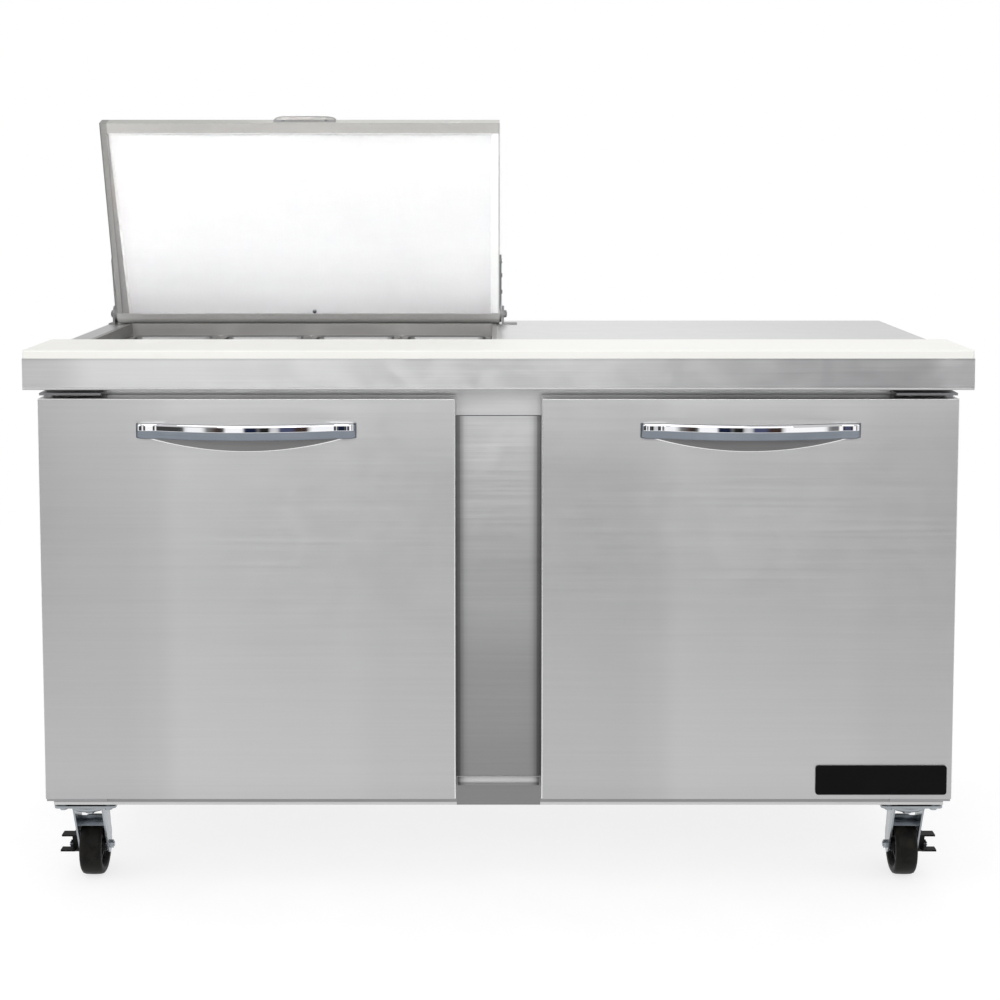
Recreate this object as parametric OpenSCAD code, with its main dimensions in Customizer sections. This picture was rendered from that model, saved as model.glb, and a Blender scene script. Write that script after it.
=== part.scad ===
// Two-door refrigerated sandwich prep table on casters, with a hinged insulated lid over
// a well of eight sixth-size pans and a full-width cutting board.
// Frame: origin on the floor under the middle of the worktop, +X to the right,
// +Y to the back, +Z up. Millimetres.

/* [Worktop] */
// Width of the worktop
width = 1524; // [1524:1:1700]
// Depth of the worktop, front to back
depth = 762; // [762:1:800]
// Height of the steel worktop above the floor
top_h = 914; // [900:1:930]
// Height of the folded edge round the worktop
edge_h = 50; // [44:1:56]
// Thickness of the cutting board
board_t = 12.7; // [9:0.1:14]
// Depth of the cutting board, front to back
board_d = 203; // [180:1:256]

/* [Lid] */
// Angle between the lid at rest, open, and the lid shut
lid_open = 70; // [60:1:72]
// Width of the lid
lid_w = 746; // [742:1:748]
// Thickness of the lid's insulated top
lid_core_t = 16; // [12:1:18]

/* [Pans] */
// Outer length of a pan's rim, across the table
pan_l = 174.5; // [172:0.5:175]
// Outer width of a pan's rim, front to back
pan_w = 161; // [158:0.5:161.5]
// Depth of a pan
pan_d = 100; // [60:1:105]

/* [Doors] */
// Thickness of a door
door_t = 50; // [44:1:52]
// How far a handle's bow stands out from the door
bow = 37; // [28:1:38]
// Length of a door handle
handle_l = 358; // [300:1:400]

/* [Casters] */
// Diameter of a caster wheel
wheel_d = 101.6; // [90:0.1:110]
// Width of a caster wheel
wheel_w = 38; // [30:1:38]

/* [Hidden] */
$fn = 48;

yf = -depth / 2;          // front edge of the worktop
yr = depth / 2;           // back edge of the worktop
hw = width / 2;           // half the worktop's width
zt = top_h - edge_h;      // top of the cabinet body, under the worktop's folded edge
zb = 148.4;               // underside of the cabinet body
zp = 141;                 // underside of a caster's plate
bx = hw - 13;             // half the cabinet body's width
by = yf + 102;            // front face of the cabinet body
bk = yr - 10;             // back of the cabinet body
ix = bx - 31;             // inside face of the side walls
sheet = 1;                // sheet steel
gap = 0.2;                // gap between separate panels
bay_y = 180;              // front of the machine bay
bay_z = 690;              // top of the machine bay
sill_z = 198;             // top of the bottom rail
head_z = 809;             // underside of the top rail
post_x = 95;              // half the middle post's width

// Pan well, the opening in the worktop
wx0 = -716; wx1 = -12;
wy0 = yf + 312; wy1 = yf + 672;
ledge_z = top_h - 23;     // where the pans' rims rest
pan_pitch = 176;
row_front = wy0 + 9 + pan_w / 2;
row_rear = wy1 - 14 - pan_w / 2;

// Lid: profile in its own shut position, pivot at the origin, y to the back, z up
py = yf + 680; pz = top_h + 20; pr = 18;
lx1 = 2; lx0 = lx1 - lid_w;
rim = 13;
lid_len = 398; lid_front_h = 28; lid_back = 68;
ct = cos(lid_open); st = sin(lid_open);
function spin(p, a) = [p[0] * cos(a) - p[1] * sin(a), p[0] * sin(a) + p[1] * cos(a)];
heel = [for (a = [0:10:lid_open]) spin([0, -pr], a)];
t2 = spin([0, -pr], lid_open);
lid_c = t2 + lid_back * [ct, st];
lid_outer = concat([[-lid_len, -pr], [-lid_len + 3, -pr + lid_front_h]], [lid_c], [for (i = [len(heel) - 1:-1:0]) heel[i]]);
slope = (lid_c[1] - (-pr + lid_front_h)) / (lid_c[0] - (-lid_len + 3));
function top_at(y) = -pr + lid_front_h + slope * (y - (-lid_len + 3));
core_v = lid_core_t / cos(atan(slope));
in_front = -lid_len + 21;
rear_in = spin([8, -8], lid_open);                    // foot of the inner back wall
rear_dir = [ct, st];
rear_k = (top_at(rear_in[0]) - core_v - rear_in[1]) / (rear_dir[1] - slope * rear_dir[0]);
in_c = rear_in + rear_k * rear_dir;
lid_inner = [[in_front, -pr - 1], [in_front + 1, top_at(in_front + 1) - core_v], in_c, rear_in, [-8.5, -pr], [-8.5, -pr - 1]];

// Doors
dy0 = yf + 40;            // front face of the doors
dy1 = dy0 + door_t;       // back plane of the doors
dz0 = 179; dz1 = 845;
dx0 = 70.5; dx1 = bx - 0.5;
hx = dx1 - 14;            // hinge line
hy = dy0 + 25;
handle_x = (dx0 + dx1) / 2;
handle_z = 793;

// Casters
cx = 698; cyf = yf + 150; cyr = 285;
trail = 35;
wr = wheel_d / 2;

module box(x0, x1, y0, y1, z0, z1) translate([x0, y0, z0]) cube([x1 - x0, y1 - y0, z1 - z0]);
module both() { children(); mirror([1, 0, 0]) children(); }
// A 2-D shape in y and z, drawn along x from x0 to x1
module along_x(x0, x1) translate([x0, 0, 0]) rotate([90, 0, 90]) linear_extrude(x1 - x0) children();
module rsq(x, y, r) {
    square([x - 2 * r, y], center = true);
    square([x, y - 2 * r], center = true);
    for (sx = [-1, 1], sy = [-1, 1]) translate([sx * (x / 2 - r), sy * (y / 2 - r)]) circle(r);
}
module rod_x(x0, x1, y, z, d, fn = 24) translate([x0, y, z]) rotate([0, 90, 0]) cylinder(d = d, h = x1 - x0, $fn = fn);
module rod_y(x, y0, y1, z, d, fn = 24) translate([x, y0, z]) rotate([-90, 0, 0]) cylinder(d = d, h = y1 - y0, $fn = fn);

// ---------- cabinet ----------
module cabinet_casing() color("silver") {
    both() box(-bx, -bx + sheet, by + 2, bk, zb, zt);
    box(-bx + sheet + gap, bx - sheet - gap, by + 2, bk, zb, zb + sheet);
    box(-bx + sheet + gap, bx - sheet - gap, bay_y - sheet, bay_y, zb + sheet + gap, bay_z - gap);
    box(-bx + sheet + gap, bx - sheet - gap, bay_y - sheet, bk, bay_z, bay_z + sheet);
    box(-bx + sheet + gap, bx - sheet - gap, bk - sheet, bk, bay_z + sheet + gap, zt);
}

module front_frame() color("gainsboro") {
    box(-bx, bx, by, by + 1.5, head_z, zt);
    box(-bx, bx, by, by + 1.5, zb, sill_z);
    both() box(-bx, -ix, by, by + 1.5, sill_z + gap, head_z - gap);
}

module mullion() color("gainsboro") {
    difference() {
        box(-post_x, post_x, by, by + 78, sill_z + gap, head_z - gap);
        box(-post_x + 1.2, post_x - 1.2, by + 1.2, by + 79, sill_z, head_z);
    }
    // sill trim between the doors, with a sloping top
    along_x(-68, 68) polygon([[by - 0.2, 184], [by - 6, 184], [by - 6, 190], [by - 0.2, 197.5]]);
}

module cabinet_insulation() color("khaki") {
    fy = by + 1.7;
    both() {
        box(-bx + 1.2, -ix - 1.2, fy + 0.5, bay_y - 1.4, zb + 1.2, zt);
        box(-bx + 1.2, -ix - 1.2, bay_y - 1.2, bk - 1.2, bay_z + 1.2, zt);
    }
    box(-ix - 1, ix + 1, fy + 0.5, bay_y - 1.4, zb + 1.2, sill_z - 1.2);
    box(-ix - 1, ix + 1, 131.2, bay_y - 1.4, sill_z - 1, 738.8);
    box(-ix - 1, ix + 1, bay_y - 1.2, bk - 1.2, bay_z + 1.2, 738.8);
    box(-ix - 1, ix + 1, 331.2, bk - 1.2, 739, zt);
    box(-ix - 1, ix + 1, fy, fy + 46, head_z + 0.4, zt);
    box(-post_x + 1.4, post_x - 1.4, by + 1.4, by + 76, sill_z, head_z);
    // core of the worktop, round the pan well
    z0 = zt + 1.4; z1 = top_h - 1.4;
    box(-hw + 1.4, hw - 1.4, yf + 1.4, wy0 - 1.6, z0, z1);
    box(wx1 + 1.6, hw - 1.4, wy0 - 1.4, yr - 1.4, z0, z1);
    box(-hw + 1.4, wx0 - 1.6, wy0 - 1.4, yr - 1.4, z0, z1);
    box(wx0 - 1.4, wx1 + 1.4, wy1 + 1.6, yr - 1.4, z0, z1);
}

module cabinet_liner() color("lightgray") {
    both() {
        box(-ix - 1, -ix, by + 50, 130, sill_z + gap, zt);
        box(-ix - 1, -ix, by + 2, by + 49.8, sill_z + gap, head_z);
        box(-ix - 1, -ix, 130.2, 329.8, 740.2, zt);
    }
    box(-ix - 0.8, ix + 0.8, by + 2, 131, sill_z - 1, sill_z);
    box(-ix + gap, ix - gap, 130, 131, sill_z + gap, 738.8);
    box(-ix + gap, ix - gap, 130, 329.8, 739, 740);
    box(-ix + gap, ix - gap, 330, 331, 740.2, zt);
}

// ---------- worktop ----------
module worktop() color("silver") difference() {
    box(-hw, hw, yf, yr, zt, top_h);
    box(-hw + 1.2, hw - 1.2, yf + 1.2, yr - 1.2, zt + 1.2, top_h - 1.2);
    box(-hw + 26, hw - 26, yf + 26, yr - 26, zt - 1, zt + 2);
    box(wx0 - 1.2, wx1 + 1.2, wy0 - 1.2, wy1 + 1.2, zt - 1, top_h + 1);
}

module pan_well() color("darkgray") {
    translate([(wx0 + wx1) / 2, (wy0 + wy1) / 2, 0]) {
        lx = wx1 - wx0; ly = wy1 - wy0;
        difference() {
            union() {
                translate([0, 0, zt - 28]) linear_extrude(top_h - zt + 28) square([lx + 2.2, ly + 2.2], center = true);
                translate([0, 0, top_h]) linear_extrude(1.5) square([lx + 18, ly + 12], center = true);
            }
            translate([0, 0, zt - 30]) linear_extrude(top_h - zt + 40) square([lx, ly], center = true);
        }
    }
    // ledges along the front and back for the pans' rims
    box(wx0, wx1, wy0 - 0.5, wy0 + 15, ledge_z - 1.5, ledge_z);
    box(wx0, wx1, wy1 - 20, wy1 + 0.5, ledge_z - 1.5, ledge_z);
}

module pan_divider_bar() color("darkgray") {
    ym = (row_front + row_rear) / 2;
    box(wx0 + 0.2, wx1 - 0.2, ym - 15, ym + 15, ledge_z - 1.5, ledge_z);
    box(wx0 + 0.2, wx1 - 0.2, ym - 5.5, ym + 5.5, ledge_z - 12, ledge_z + 1.6);
}

module cutting_board() color("ivory") difference() {
    translate([0, yf + board_d / 2, top_h + 0.1]) linear_extrude(board_t) rsq(width, board_d, 6);
    // chamfers along the long top edges
    for (s = [-1, 1]) translate([0, yf + board_d / 2 + s * board_d / 2, top_h + 0.1 + board_t])
        rotate([45, 0, 0]) cube([width + 2, 2.4, 2.4], center = true);
}

// ---------- pans ----------
module pan(i, y) color("silver") translate([wx0 + pan_pitch * (i - 0.5), y, ledge_z + 0.1]) {
    bl = pan_l - 18; bw = pan_w - 18;
    difference() {
        union() {
            linear_extrude(1.6) rsq(pan_l, pan_w, 12);
            translate([0, 0, -pan_d + 1.6]) linear_extrude(pan_d) rsq(bl, bw, 16);
        }
        translate([0, 0, -pan_d + 2.8]) linear_extrude(pan_d) rsq(bl - 2.4, bw - 2.4, 14.8);
    }
}

// ---------- shelves ----------
module shelf(x0, x1) {
    y0 = by + 88; y1 = 118; z = 500;
    for (y = [y0, y1, (y0 + y1) / 2]) rod_x(x0, x1, y, z, 6, 8);
    for (x = [x0 + 3, x1 - 3]) rod_y(x, y0 - 3, y1 + 3, z, 6, 8);
    n = 20;
    for (i = [1:n]) rod_y(x0 + i * (x1 - x0) / (n + 1), y0 - 3, y1 + 3, z + 4.2, 3.4, 8);
}
module wire_shelves() color("white") { shelf(-710, -14); shelf(14, 710); }

module shelf_pilasters() color("silver") {
    for (s = [-1, 1], y = [by + 70, 70])
        difference() {
            box(s > 0 ? ix - 4 : -ix + gap, s > 0 ? ix - gap : -ix + 4, y, y + 16, 225, 725);
            for (z = [250:50:700]) box(-ix - 1, ix + 1, y + 5, y + 11, z, z + 12);
        }
    for (s = [-1, 1]) {
        box(s * 28 - 8, s * 28 + 8, 126, 129.8, 225, 725);
        box(s * 28 - 8, s * 28 + 8, by + 78.2, by + 82, 225, 725);
        // clips under the shelf's corners
        for (y = [by + 72, 72]) box(s > 0 ? ix - 14 : -ix + 4.2, s > 0 ? ix - 4.2 : -ix + 14, y, y + 22, 488, 496.9);
        box(s * 28 - 6, s * 28 + 6, 112, 125.8, 488, 496.9);
        box(s * 28 - 6, s * 28 + 6, by + 82.2, by + 94, 488, 496.9);
    }
}

// ---------- door hinges ----------
module hinge_bracket(top) {
    // arm under the worktop or under the door, screwed to the cabinet's face
    za = top ? dz1 + 3.4 : dz0 - 7.4;
    x0 = -dx1; x1 = -dx1 + 100;
    box(x0, x1, hy - 12, by - 0.2, za, za + 4);
    box(x0, x1, by - 3.2, by - 0.2, top ? za : za - 12, top ? za + 15 : za + 4);
    translate([-hx, hy, top ? dz1 - 22 : za]) cylinder(d = 8, h = top ? 22 + 3.4 + 1 : 7.4 + 22);
    translate([-hx, hy, top ? dz1 + 0.3 : dz0 - 3.4]) cylinder(d = 18, h = 3.1);
    for (x = [x0 + 38, x0 + 62, x0 + 86]) translate([x, by - 3.2, top ? za + 9.5 : za - 6]) rotate([90, 0, 0]) cylinder(d = 8, h = 2.2);
}
module door_hinge_brackets() color("dimgray") both() { hinge_bracket(true); hinge_bracket(false); }

// ---------- doors, drawn as the left one ----------
module left_skin() difference() {
    box(-dx1, -dx0, dy0, dy1 - gap, dz0, dz1);
    box(-dx1 + sheet, -dx0 - sheet, dy0 + sheet, dy1 + 1, dz0 + sheet, dz1 - sheet);
    translate([-hx, hy, dz0 - 1]) cylinder(d = 15, h = dz1 - dz0 + 2);
}
module left_core() difference() {
    box(-dx1 + 1.2, -dx0 - 1.2, dy0 + 1.2, dy1 - 1.4, dz0 + 1.2, dz1 - 1.2);
    for (z = [dz0 - 1, dz1 - 24]) translate([-hx, hy, z]) cylinder(d = 8.1, h = 25);
}
module left_liner() {
    difference() {
        box(-dx1 + 1.2, -dx0 - 1.2, dy1 - 1.2, dy1 - gap, dz0 + 1.2, dz1 - 1.2);
        // sunk channel that holds the gasket
        difference() {
            box(-hx - 2, -dx0 - 3.5, dy1 - 0.9, dy1, 180, 832);
            box(-hx + 20, -dx0 - 25, dy1 - 2, dy1 + 1, 202, 810);
        }
    }
    // raised panel inside the gasket
    translate([0, dy1 - 0.5, 0]) rotate([90, 0, 0]) mirror([0, 0, 1]) translate([-(hx + dx0) / 2 - 2, (202 + 810) / 2, 0])
        linear_extrude(4.5) rsq(hx - dx0 - 60, 590, 20);
}
// four welded strips with a bellows groove along each
module left_gasket() {
    x0 = -hx + 0.5; x1 = -dx0 - 5.5; y0 = dy1 - 0.8; y1 = by - 0.4;
    for (z = [182, 814]) difference() {
        box(x0, x1, y0, y1, z, z + 16);
        box(x0 - 1, x1 + 1, dy1 + 3, dy1 + 6, z + 6, z + 10);
    }
    for (x = [x0, x1 - 16]) difference() {
        box(x, x + 16, y0, y1, 198.1, 813.9);
        box(x + 6, x + 10, dy1 + 3, dy1 + 6, 198, 815);
    }
}
// bowed bar with a foot at each end
module left_handle() {
    h = 27; t = 9;
    rr = (handle_l * handle_l / 4 + bow * bow) / (2 * bow);
    translate([-handle_x, dy0 - gap, handle_z]) {
        intersection() {
            translate([0, rr - bow, 0]) rotate_extrude($fn = 128) translate([rr - t, 0]) {
                translate([0, -h / 2 + 3]) square([t, h - 6]);
                translate([3, -h / 2]) square([t - 6, h]);
                for (a = [3, t - 3], b = [-h / 2 + 3, h / 2 - 3]) translate([a, b]) circle(3);
            }
            box(-handle_l / 2, handle_l / 2, -bow - 1, -2.2, -h, h);
        }
        for (s = [-1, 1]) translate([s * (handle_l / 2 - 11), 0, 0]) box(-11, 11, -8.5, 0, -h / 2, h / 2);
    }
}
module left_door_skin() color("lightgray") left_skin();
module left_door_core() color("khaki") left_core();
module left_door_liner() color("whitesmoke") left_liner();
module left_door_gasket() color("gray") left_gasket();
module left_door_handle() color("silver") left_handle();
module right_door_skin() color("lightgray") mirror([1, 0, 0]) left_skin();
module right_door_core() color("khaki") mirror([1, 0, 0]) left_core();
module right_door_liner() color("whitesmoke") mirror([1, 0, 0]) left_liner();
module right_door_gasket() color("gray") mirror([1, 0, 0]) left_gasket();
module right_door_handle() color("silver") mirror([1, 0, 0]) left_handle();

module right_door_badge() color("black") translate([630.5, dy0 - gap, 212]) rotate([90, 0, 0]) linear_extrude(2.2) rsq(216, 49, 5);

// ---------- lid ----------
module at_lid() translate([0, py, pz]) rotate([-lid_open, 0, 0]) children();
// the inner profile grown by d, for the liner's outer face
function grow(d) = [[in_front - d, -pr - 1], [in_front + 1 - d, top_at(in_front + 1 - d) - core_v + d], in_c + [d * 0.7, d], rear_in + d * [st, -ct], [-8.5 + d, -pr + d], [-8.5 + d, -pr - 1]];
lid_skin = [[-lid_len + 1, -pr - 1], [-lid_len + 4, top_at(-lid_len + 4) - 1.05], lid_c + [-1.6, -1.2], t2 + [-0.9, 0.5], spin([0, -pr + 1], lid_open * 0.75), spin([0, -pr + 1], lid_open * 0.5), spin([0, -pr + 1], lid_open * 0.25), [0.5, -pr + 1], [0.5, -pr - 1]];

module lid_shell() color("silver") at_lid() difference() {
    along_x(lx0, lx1) polygon(lid_outer);
    along_x(lx0 + 1, lx1 - 1) polygon(lid_skin);
}
module lid_liner() color("whitesmoke") at_lid() difference() {
    union() {
        along_x(lx0 + rim - 1, lx1 - rim + 1) intersection() {
            polygon(grow(1));
            translate([-lid_len, -pr]) square([lid_len + 60, 200]);
        }
        along_x(lx0 + 1.2, lx1 - 1.2) polygon([[-lid_len + 1.2, -pr], [-lid_len + 1.3, -pr + 1], [0, -pr + 1.1], [0, -pr + 0.1]]);
    }
    along_x(lx0 + rim, lx1 - rim) polygon(lid_inner);
}
module lid_core() color("khaki") at_lid() {
    cx0 = lx0 + 1.3; cx1 = lx1 - 1.3;
    cut = in_front - 1.4;
    ztop = function(y) top_at(y) - 1.4;
    zin = function(y) top_at(y) - core_v + 1.4;
    yend = in_c[0] - 4;
    // top slab, front block, two cheeks and the back wall
    along_x(cx0, cx1) polygon([[-lid_len + 4.5, zin(-lid_len + 4.5)], [-lid_len + 4.5, ztop(-lid_len + 4.5)], [yend, ztop(yend)], [yend, zin(yend)]]);
    along_x(cx0, cx1) polygon([[-lid_len + 2.5, -pr + 1.4], [-lid_len + 4, zin(-lid_len + 4) - 0.3], [cut, zin(cut) - 0.3], [cut, -pr + 1.4]]);
    for (x = [cx0, lx1 - rim + 1.3]) along_x(x, x + rim - 2.6)
        polygon([[cut + 0.3, -pr + 1.4], [cut + 0.3, zin(cut) - 0.3], [yend - 12, zin(yend - 12) - 0.3], [-2, -pr + 1.4]]);
    along_x(cx0, cx1) polygon([[yend + 0.3, zin(yend + 0.3)], [yend + 0.3, ztop(yend + 0.3)], lid_c + [-2.6, -1.9], t2 + [-1.2, 2], spin([0, -pr + 1.6], lid_open * 0.6), rear_in + [1.6, -0.6], [in_c[0] + 1.7, zin(in_c[0] + 1.7)]]);
}
module lid_handle() color("silver") at_lid() {
    // lip pull on the front face
    translate([(lx0 + lx1) / 2 + 9, 0, 0]) {
        along_x(-58, 58) polygon([[-lid_len - 0.1 + 0.45, -pr + 4.5], [-lid_len - 2.1 + 0.45, -pr + 4.5], [-lid_len - 2.1 + 2.2, -pr + 21], [-lid_len - 0.1 + 2.2, -pr + 21]]);
        along_x(-52, 52) polygon([[-lid_len - 1 + 2, -pr + 18], [-lid_len - 5.5, -pr + 16.8], [-lid_len - 7.5, -pr + 18.5], [-lid_len - 5.5, -pr + 20.2], [-lid_len - 1 + 2, -pr + 21]]);
    }
}
module strap(x0, x1) along_x(x0, x1) difference() {
    union() {
        polygon([[0, -12], [-110, -6], [-110, 18], [0, 14]]);
        circle(16);
        translate([-110, 6]) circle(12);
    }
    circle(4.05);
}
module lid_straps() color("dimgray") at_lid() {
    strap(lx1, lx1 + 4);
    strap(lx0 - 4, lx0);
    // rivets
    for (y = [-45, -80, -110]) {
        rod_x(lx1 + 4, lx1 + 5.6, y, 5, 8, 24);
        rod_x(lx0 - 5.6, lx0 - 4, y, 5, 8, 24);
    }
}
module ear(x0, x1, f0, f1, s) {
    difference() {
        union() {
            along_x(x0, x1) { translate([py - 16, top_h]) square([32, pz - top_h]); translate([py, pz]) circle(16); }
            box(f0, f1, py - 16, py + 16, top_h, top_h + 2.5);
        }
        rod_x(x0 - 5, x1 + 5, py, pz, 8.2, 32);
    }
    // pivot stud, its head and the friction washer
    rod_x(s > 0 ? lx1 + 0.3 : x0 - 6, s > 0 ? x1 + 6 : lx0 - 0.3, py, pz, 8, 32);
    rod_x(s > 0 ? x1 : x0 - 5, s > 0 ? x1 + 5 : x0, py, pz, 14, 6);
    difference() {
        rod_x(s > 0 ? x0 - 0.5 : x1, s > 0 ? x0 : x1 + 0.5, py, pz, 18, 32);
        rod_x(x0 - 5, x1 + 5, py, pz, 8.2, 32);
    }
}
module lid_hinge_ears() color("dimgray") {
    ear(lx1 + 4.6, lx1 + 8.6, lx1 + 8, lx1 + 34, 1);
    ear(lx0 - 8.6, lx0 - 4.6, -hw + 1, lx0 - 8, -1);
}
module lid_bumpers() color("black") for (x = [lx0 + 90, lx1 - 90]) translate([x, py + 45, top_h]) cylinder(d = 18, h = 1.8);

// ---------- machine bay ----------
module rear_grille() color("gray") difference() {
    box(-bx + 4, bx - 4, bk + 0.2, bk + 1.6, zb + 4, bay_z + 10);
    for (c = [-540, -180, 180, 540], r = [0:13]) box(c - 140, c + 140, bk - 1, bk + 3, 215 + r * 28, 215 + r * 28 + 9);
    for (s = [-1, 1], z = [zb + 15, bay_z]) translate([s * (bx - 16), bk - 1, z]) rotate([-90, 0, 0]) cylinder(d = 6, h = 5);
    translate([-640, bk - 1, 180]) rotate([-90, 0, 0]) cylinder(d = 16.2, h = 5);
}
module cord_gland() color("black") translate([-640, bk + 0.2, 180]) rotate([-90, 0, 0]) difference() {
    union() {
        translate([0, 0, -6]) cylinder(d = 16, h = 12);
        translate([0, 0, 1.5]) cylinder(d = 26, h = 4, $fn = 6);
        translate([0, 0, 5.4]) cylinder(d1 = 20, d2 = 14, h = 4);
        translate([0, 0, -5]) cylinder(d = 24, h = 4.8, $fn = 6);
    }
    translate([0, 0, -10]) cylinder(d = 8, h = 30);
}
module compressor() translate([-250, 276, zb + 1]) {
    color("black") {
        translate([0, 0, 30]) rotate_extrude($fn = 64) polygon([[0, 0], [52, 0], [68, 10], [74, 28], [74, 62], [77, 62], [77, 70], [74, 70], [74, 108], [66, 138], [44, 156], [0, 162]]);
        translate([-85, -62, 22]) cube([170, 124, 8.5]);
        for (x = [-70, 70], y = [-50, 50]) translate([x, y, 0.2]) { cylinder(d = 24, h = 22); cylinder(d = 9, h = 36); }
        translate([70, -32, 80]) cube([34, 64, 60]);
    }
}
module condenser_coil() color("gray") {
    x0 = 60;
    difference() {
        box(x0, x0 + 70, 196, 352, zb + 30, zb + 290);
        for (i = [0:17]) {
            box(x0 - 1, x0 + 18, 195, 353, zb + 44 + i * 13.6, zb + 52 + i * 13.6);
            box(x0 + 52, x0 + 71, 195, 353, zb + 44 + i * 13.6, zb + 52 + i * 13.6);
        }
    }
    for (x = [x0 - 4, x0 + 70]) difference() {
        box(x, x + 4, 190, 358, zb + 1.2, zb + 300);
        translate([x - 1, 274, zb + 160]) rotate([0, 90, 0]) cylinder(d = 150, h = 6);
    }
}
module condenser_fan_motor() color("dimgray") {
    // motor on its foot, with the wire guard arms that reach to the coil's shroud
    difference() { rod_x(-52, 10, 274, zb + 160, 84, 48); rod_x(9, 11, 274, zb + 160, 20, 32); rod_x(-6, 12, 274, zb + 160, 8.1, 32); }
    box(-44, 2, 248, 300, zb + 1.2, zb + 121);
    box(-60, 18, 230, 318, zb + 1.2, zb + 4.2);
}
// n flat blades, pitched, from the hub out to radius r
module blades(n, r, hub, chord) for (i = [0:n - 1]) rotate([0, 0, i * 360 / n])
    translate([hub - 3, 0, 0]) rotate([30, 0, 0]) translate([0, -chord / 2, -0.8]) cube([r - hub + 3, chord, 1.6]);
module condenser_fan() color("silver") translate([28, 274, zb + 160]) rotate([0, 90, 0]) {
    blades(5, 70, 18, 34);
    translate([0, 0, -13]) cylinder(r = 19, h = 26);
    translate([0, 0, -32]) cylinder(d = 8, h = 20);
}
module pipe(pts, d) {
    for (i = [0:len(pts) - 2]) {
        v = pts[i + 1] - pts[i];
        l = norm(v);
        translate(pts[i]) rotate([0, acos(v[2] / l), atan2(v[1], v[0])]) cylinder(d = d, h = l, $fn = 16);
    }
    for (i = [1:len(pts) - 2]) translate(pts[i]) sphere(d = d * 1.02, $fn = 16);
}
module refrigerant_lines() color("peru") {
    // discharge line to the condenser, and liquid and suction lines up to the cold side
    pipe([[-250, 212, zb + 180], [-250, 200, zb + 180], [-250, 200, zb + 330], [40, 200, zb + 330], [90, 230, zb + 330], [90, 230, zb + 301]], 7);
    pipe([[110, 330, zb + 301], [110, 330, zb + 420], [110, 330, bay_z - 0.3]], 7);
    pipe([[-250, 340, zb + 180], [-250, 352, zb + 180], [-250, 352, zb + 450], [60, 352, zb + 450], [60, 352, bay_z - 0.3]], 10);
    // filter drier in the liquid line
    translate([110, 330, zb + 360]) cylinder(d = 22, h = 90);
}

// ---------- cold side ----------
module evaporator_housing() color("whitesmoke") {
    difference() {
        box(180, 600, 168, 326, 744, 858);
        box(181, 599, 169, 327, 743, 857);
        translate([390, 167, 801]) rotate([-90, 0, 0]) cylinder(d = 102, h = 4);
    }
    // fan motor on its bracket
    difference() { rod_y(390, 192, 222, 801, 46, 32); rod_y(390, 188, 208, 801, 6.1, 24); }
    box(334, 446, 222, 224, 791, 811);
    for (x = [334, 444]) box(x, x + 2, 169, 224, 791, 811);
    // thermostat box beside it
    difference() {
        box(615, 700, 190, 240, 762, 850);
        translate([657, 189, 806]) rotate([-90, 0, 0]) cylinder(d = 6.1, h = 22);
    }
}
module evaporator_coil() color("silver") {
    for (i = [0:26]) box(196 + i * 15, 198 + i * 15, 232, 318, 752, 850);
    for (z = [770, 801, 832], y = [250, 276, 302]) rod_x(190, 592, y, z, 9, 16);
}
module evaporator_fan() color("dimgray") translate([390, 182, 801]) rotate([-90, 0, 0]) {
    blades(5, 47, 13, 20);
    translate([0, 0, -8]) cylinder(r = 14, h = 15);
    translate([0, 0, 5]) cylinder(d = 6, h = 17);
}
module thermostat_dial() color("black") translate([657, 189.6, 806]) rotate([90, 0, 0]) difference() {
    union() {
        cylinder(d1 = 40, d2 = 36, h = 13);
        translate([-3, -17, 10]) cube([6, 34, 8]);
        translate([0, 0, -18]) cylinder(d = 6, h = 19);
    }
    translate([-0.6, 8, 17.2]) cube([1.2, 9.5, 2]);
}

// ---------- casters ----------
module each_caster() for (p = [[-cx, cyf], [cx, cyf], [-cx, cyr], [cx, cyr]]) translate([p[0], p[1], 0]) children();
module caster_plates() color("lightgray") each_caster() {
    difference() {
        translate([0, 0, zp]) linear_extrude(4) rsq(104, 92, 8);
        for (x = [-38, 38], y = [-33, 33]) translate([x, y, zp - 1]) cylinder(d = 9, h = 20);
    }
    translate([0, 0, 118]) cylinder(d = 12, h = zp - 118 + 0.5);
    translate([0, 0, 120]) cylinder(d = 20, h = 6.6, $fn = 6);
    // hex bolts that hold the plate to the cabinet, with a thick washer on each
    for (x = [-38, 38], y = [-33, 33]) translate([x, y, 0]) {
        translate([0, 0, zp - 5.2]) cylinder(d = 13, h = 5, $fn = 6);
        translate([0, 0, zp - 5]) cylinder(d = 8, h = zb - zp + 4.8);
        translate([0, 0, zp + 4.2]) cylinder(d = 17, h = zb - zp - 4.4);
    }
}
module leg(x) along_x(x - 1.5, x + 1.5) difference() {
    union() {
        polygon([[-24, zp - 5], [28, zp - 5], [trail + 13.6, wr + 4], [trail - 13, wr - 4]]);
        translate([trail, wr]) circle(14);
    }
    translate([trail, wr]) circle(4.1);
}
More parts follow.
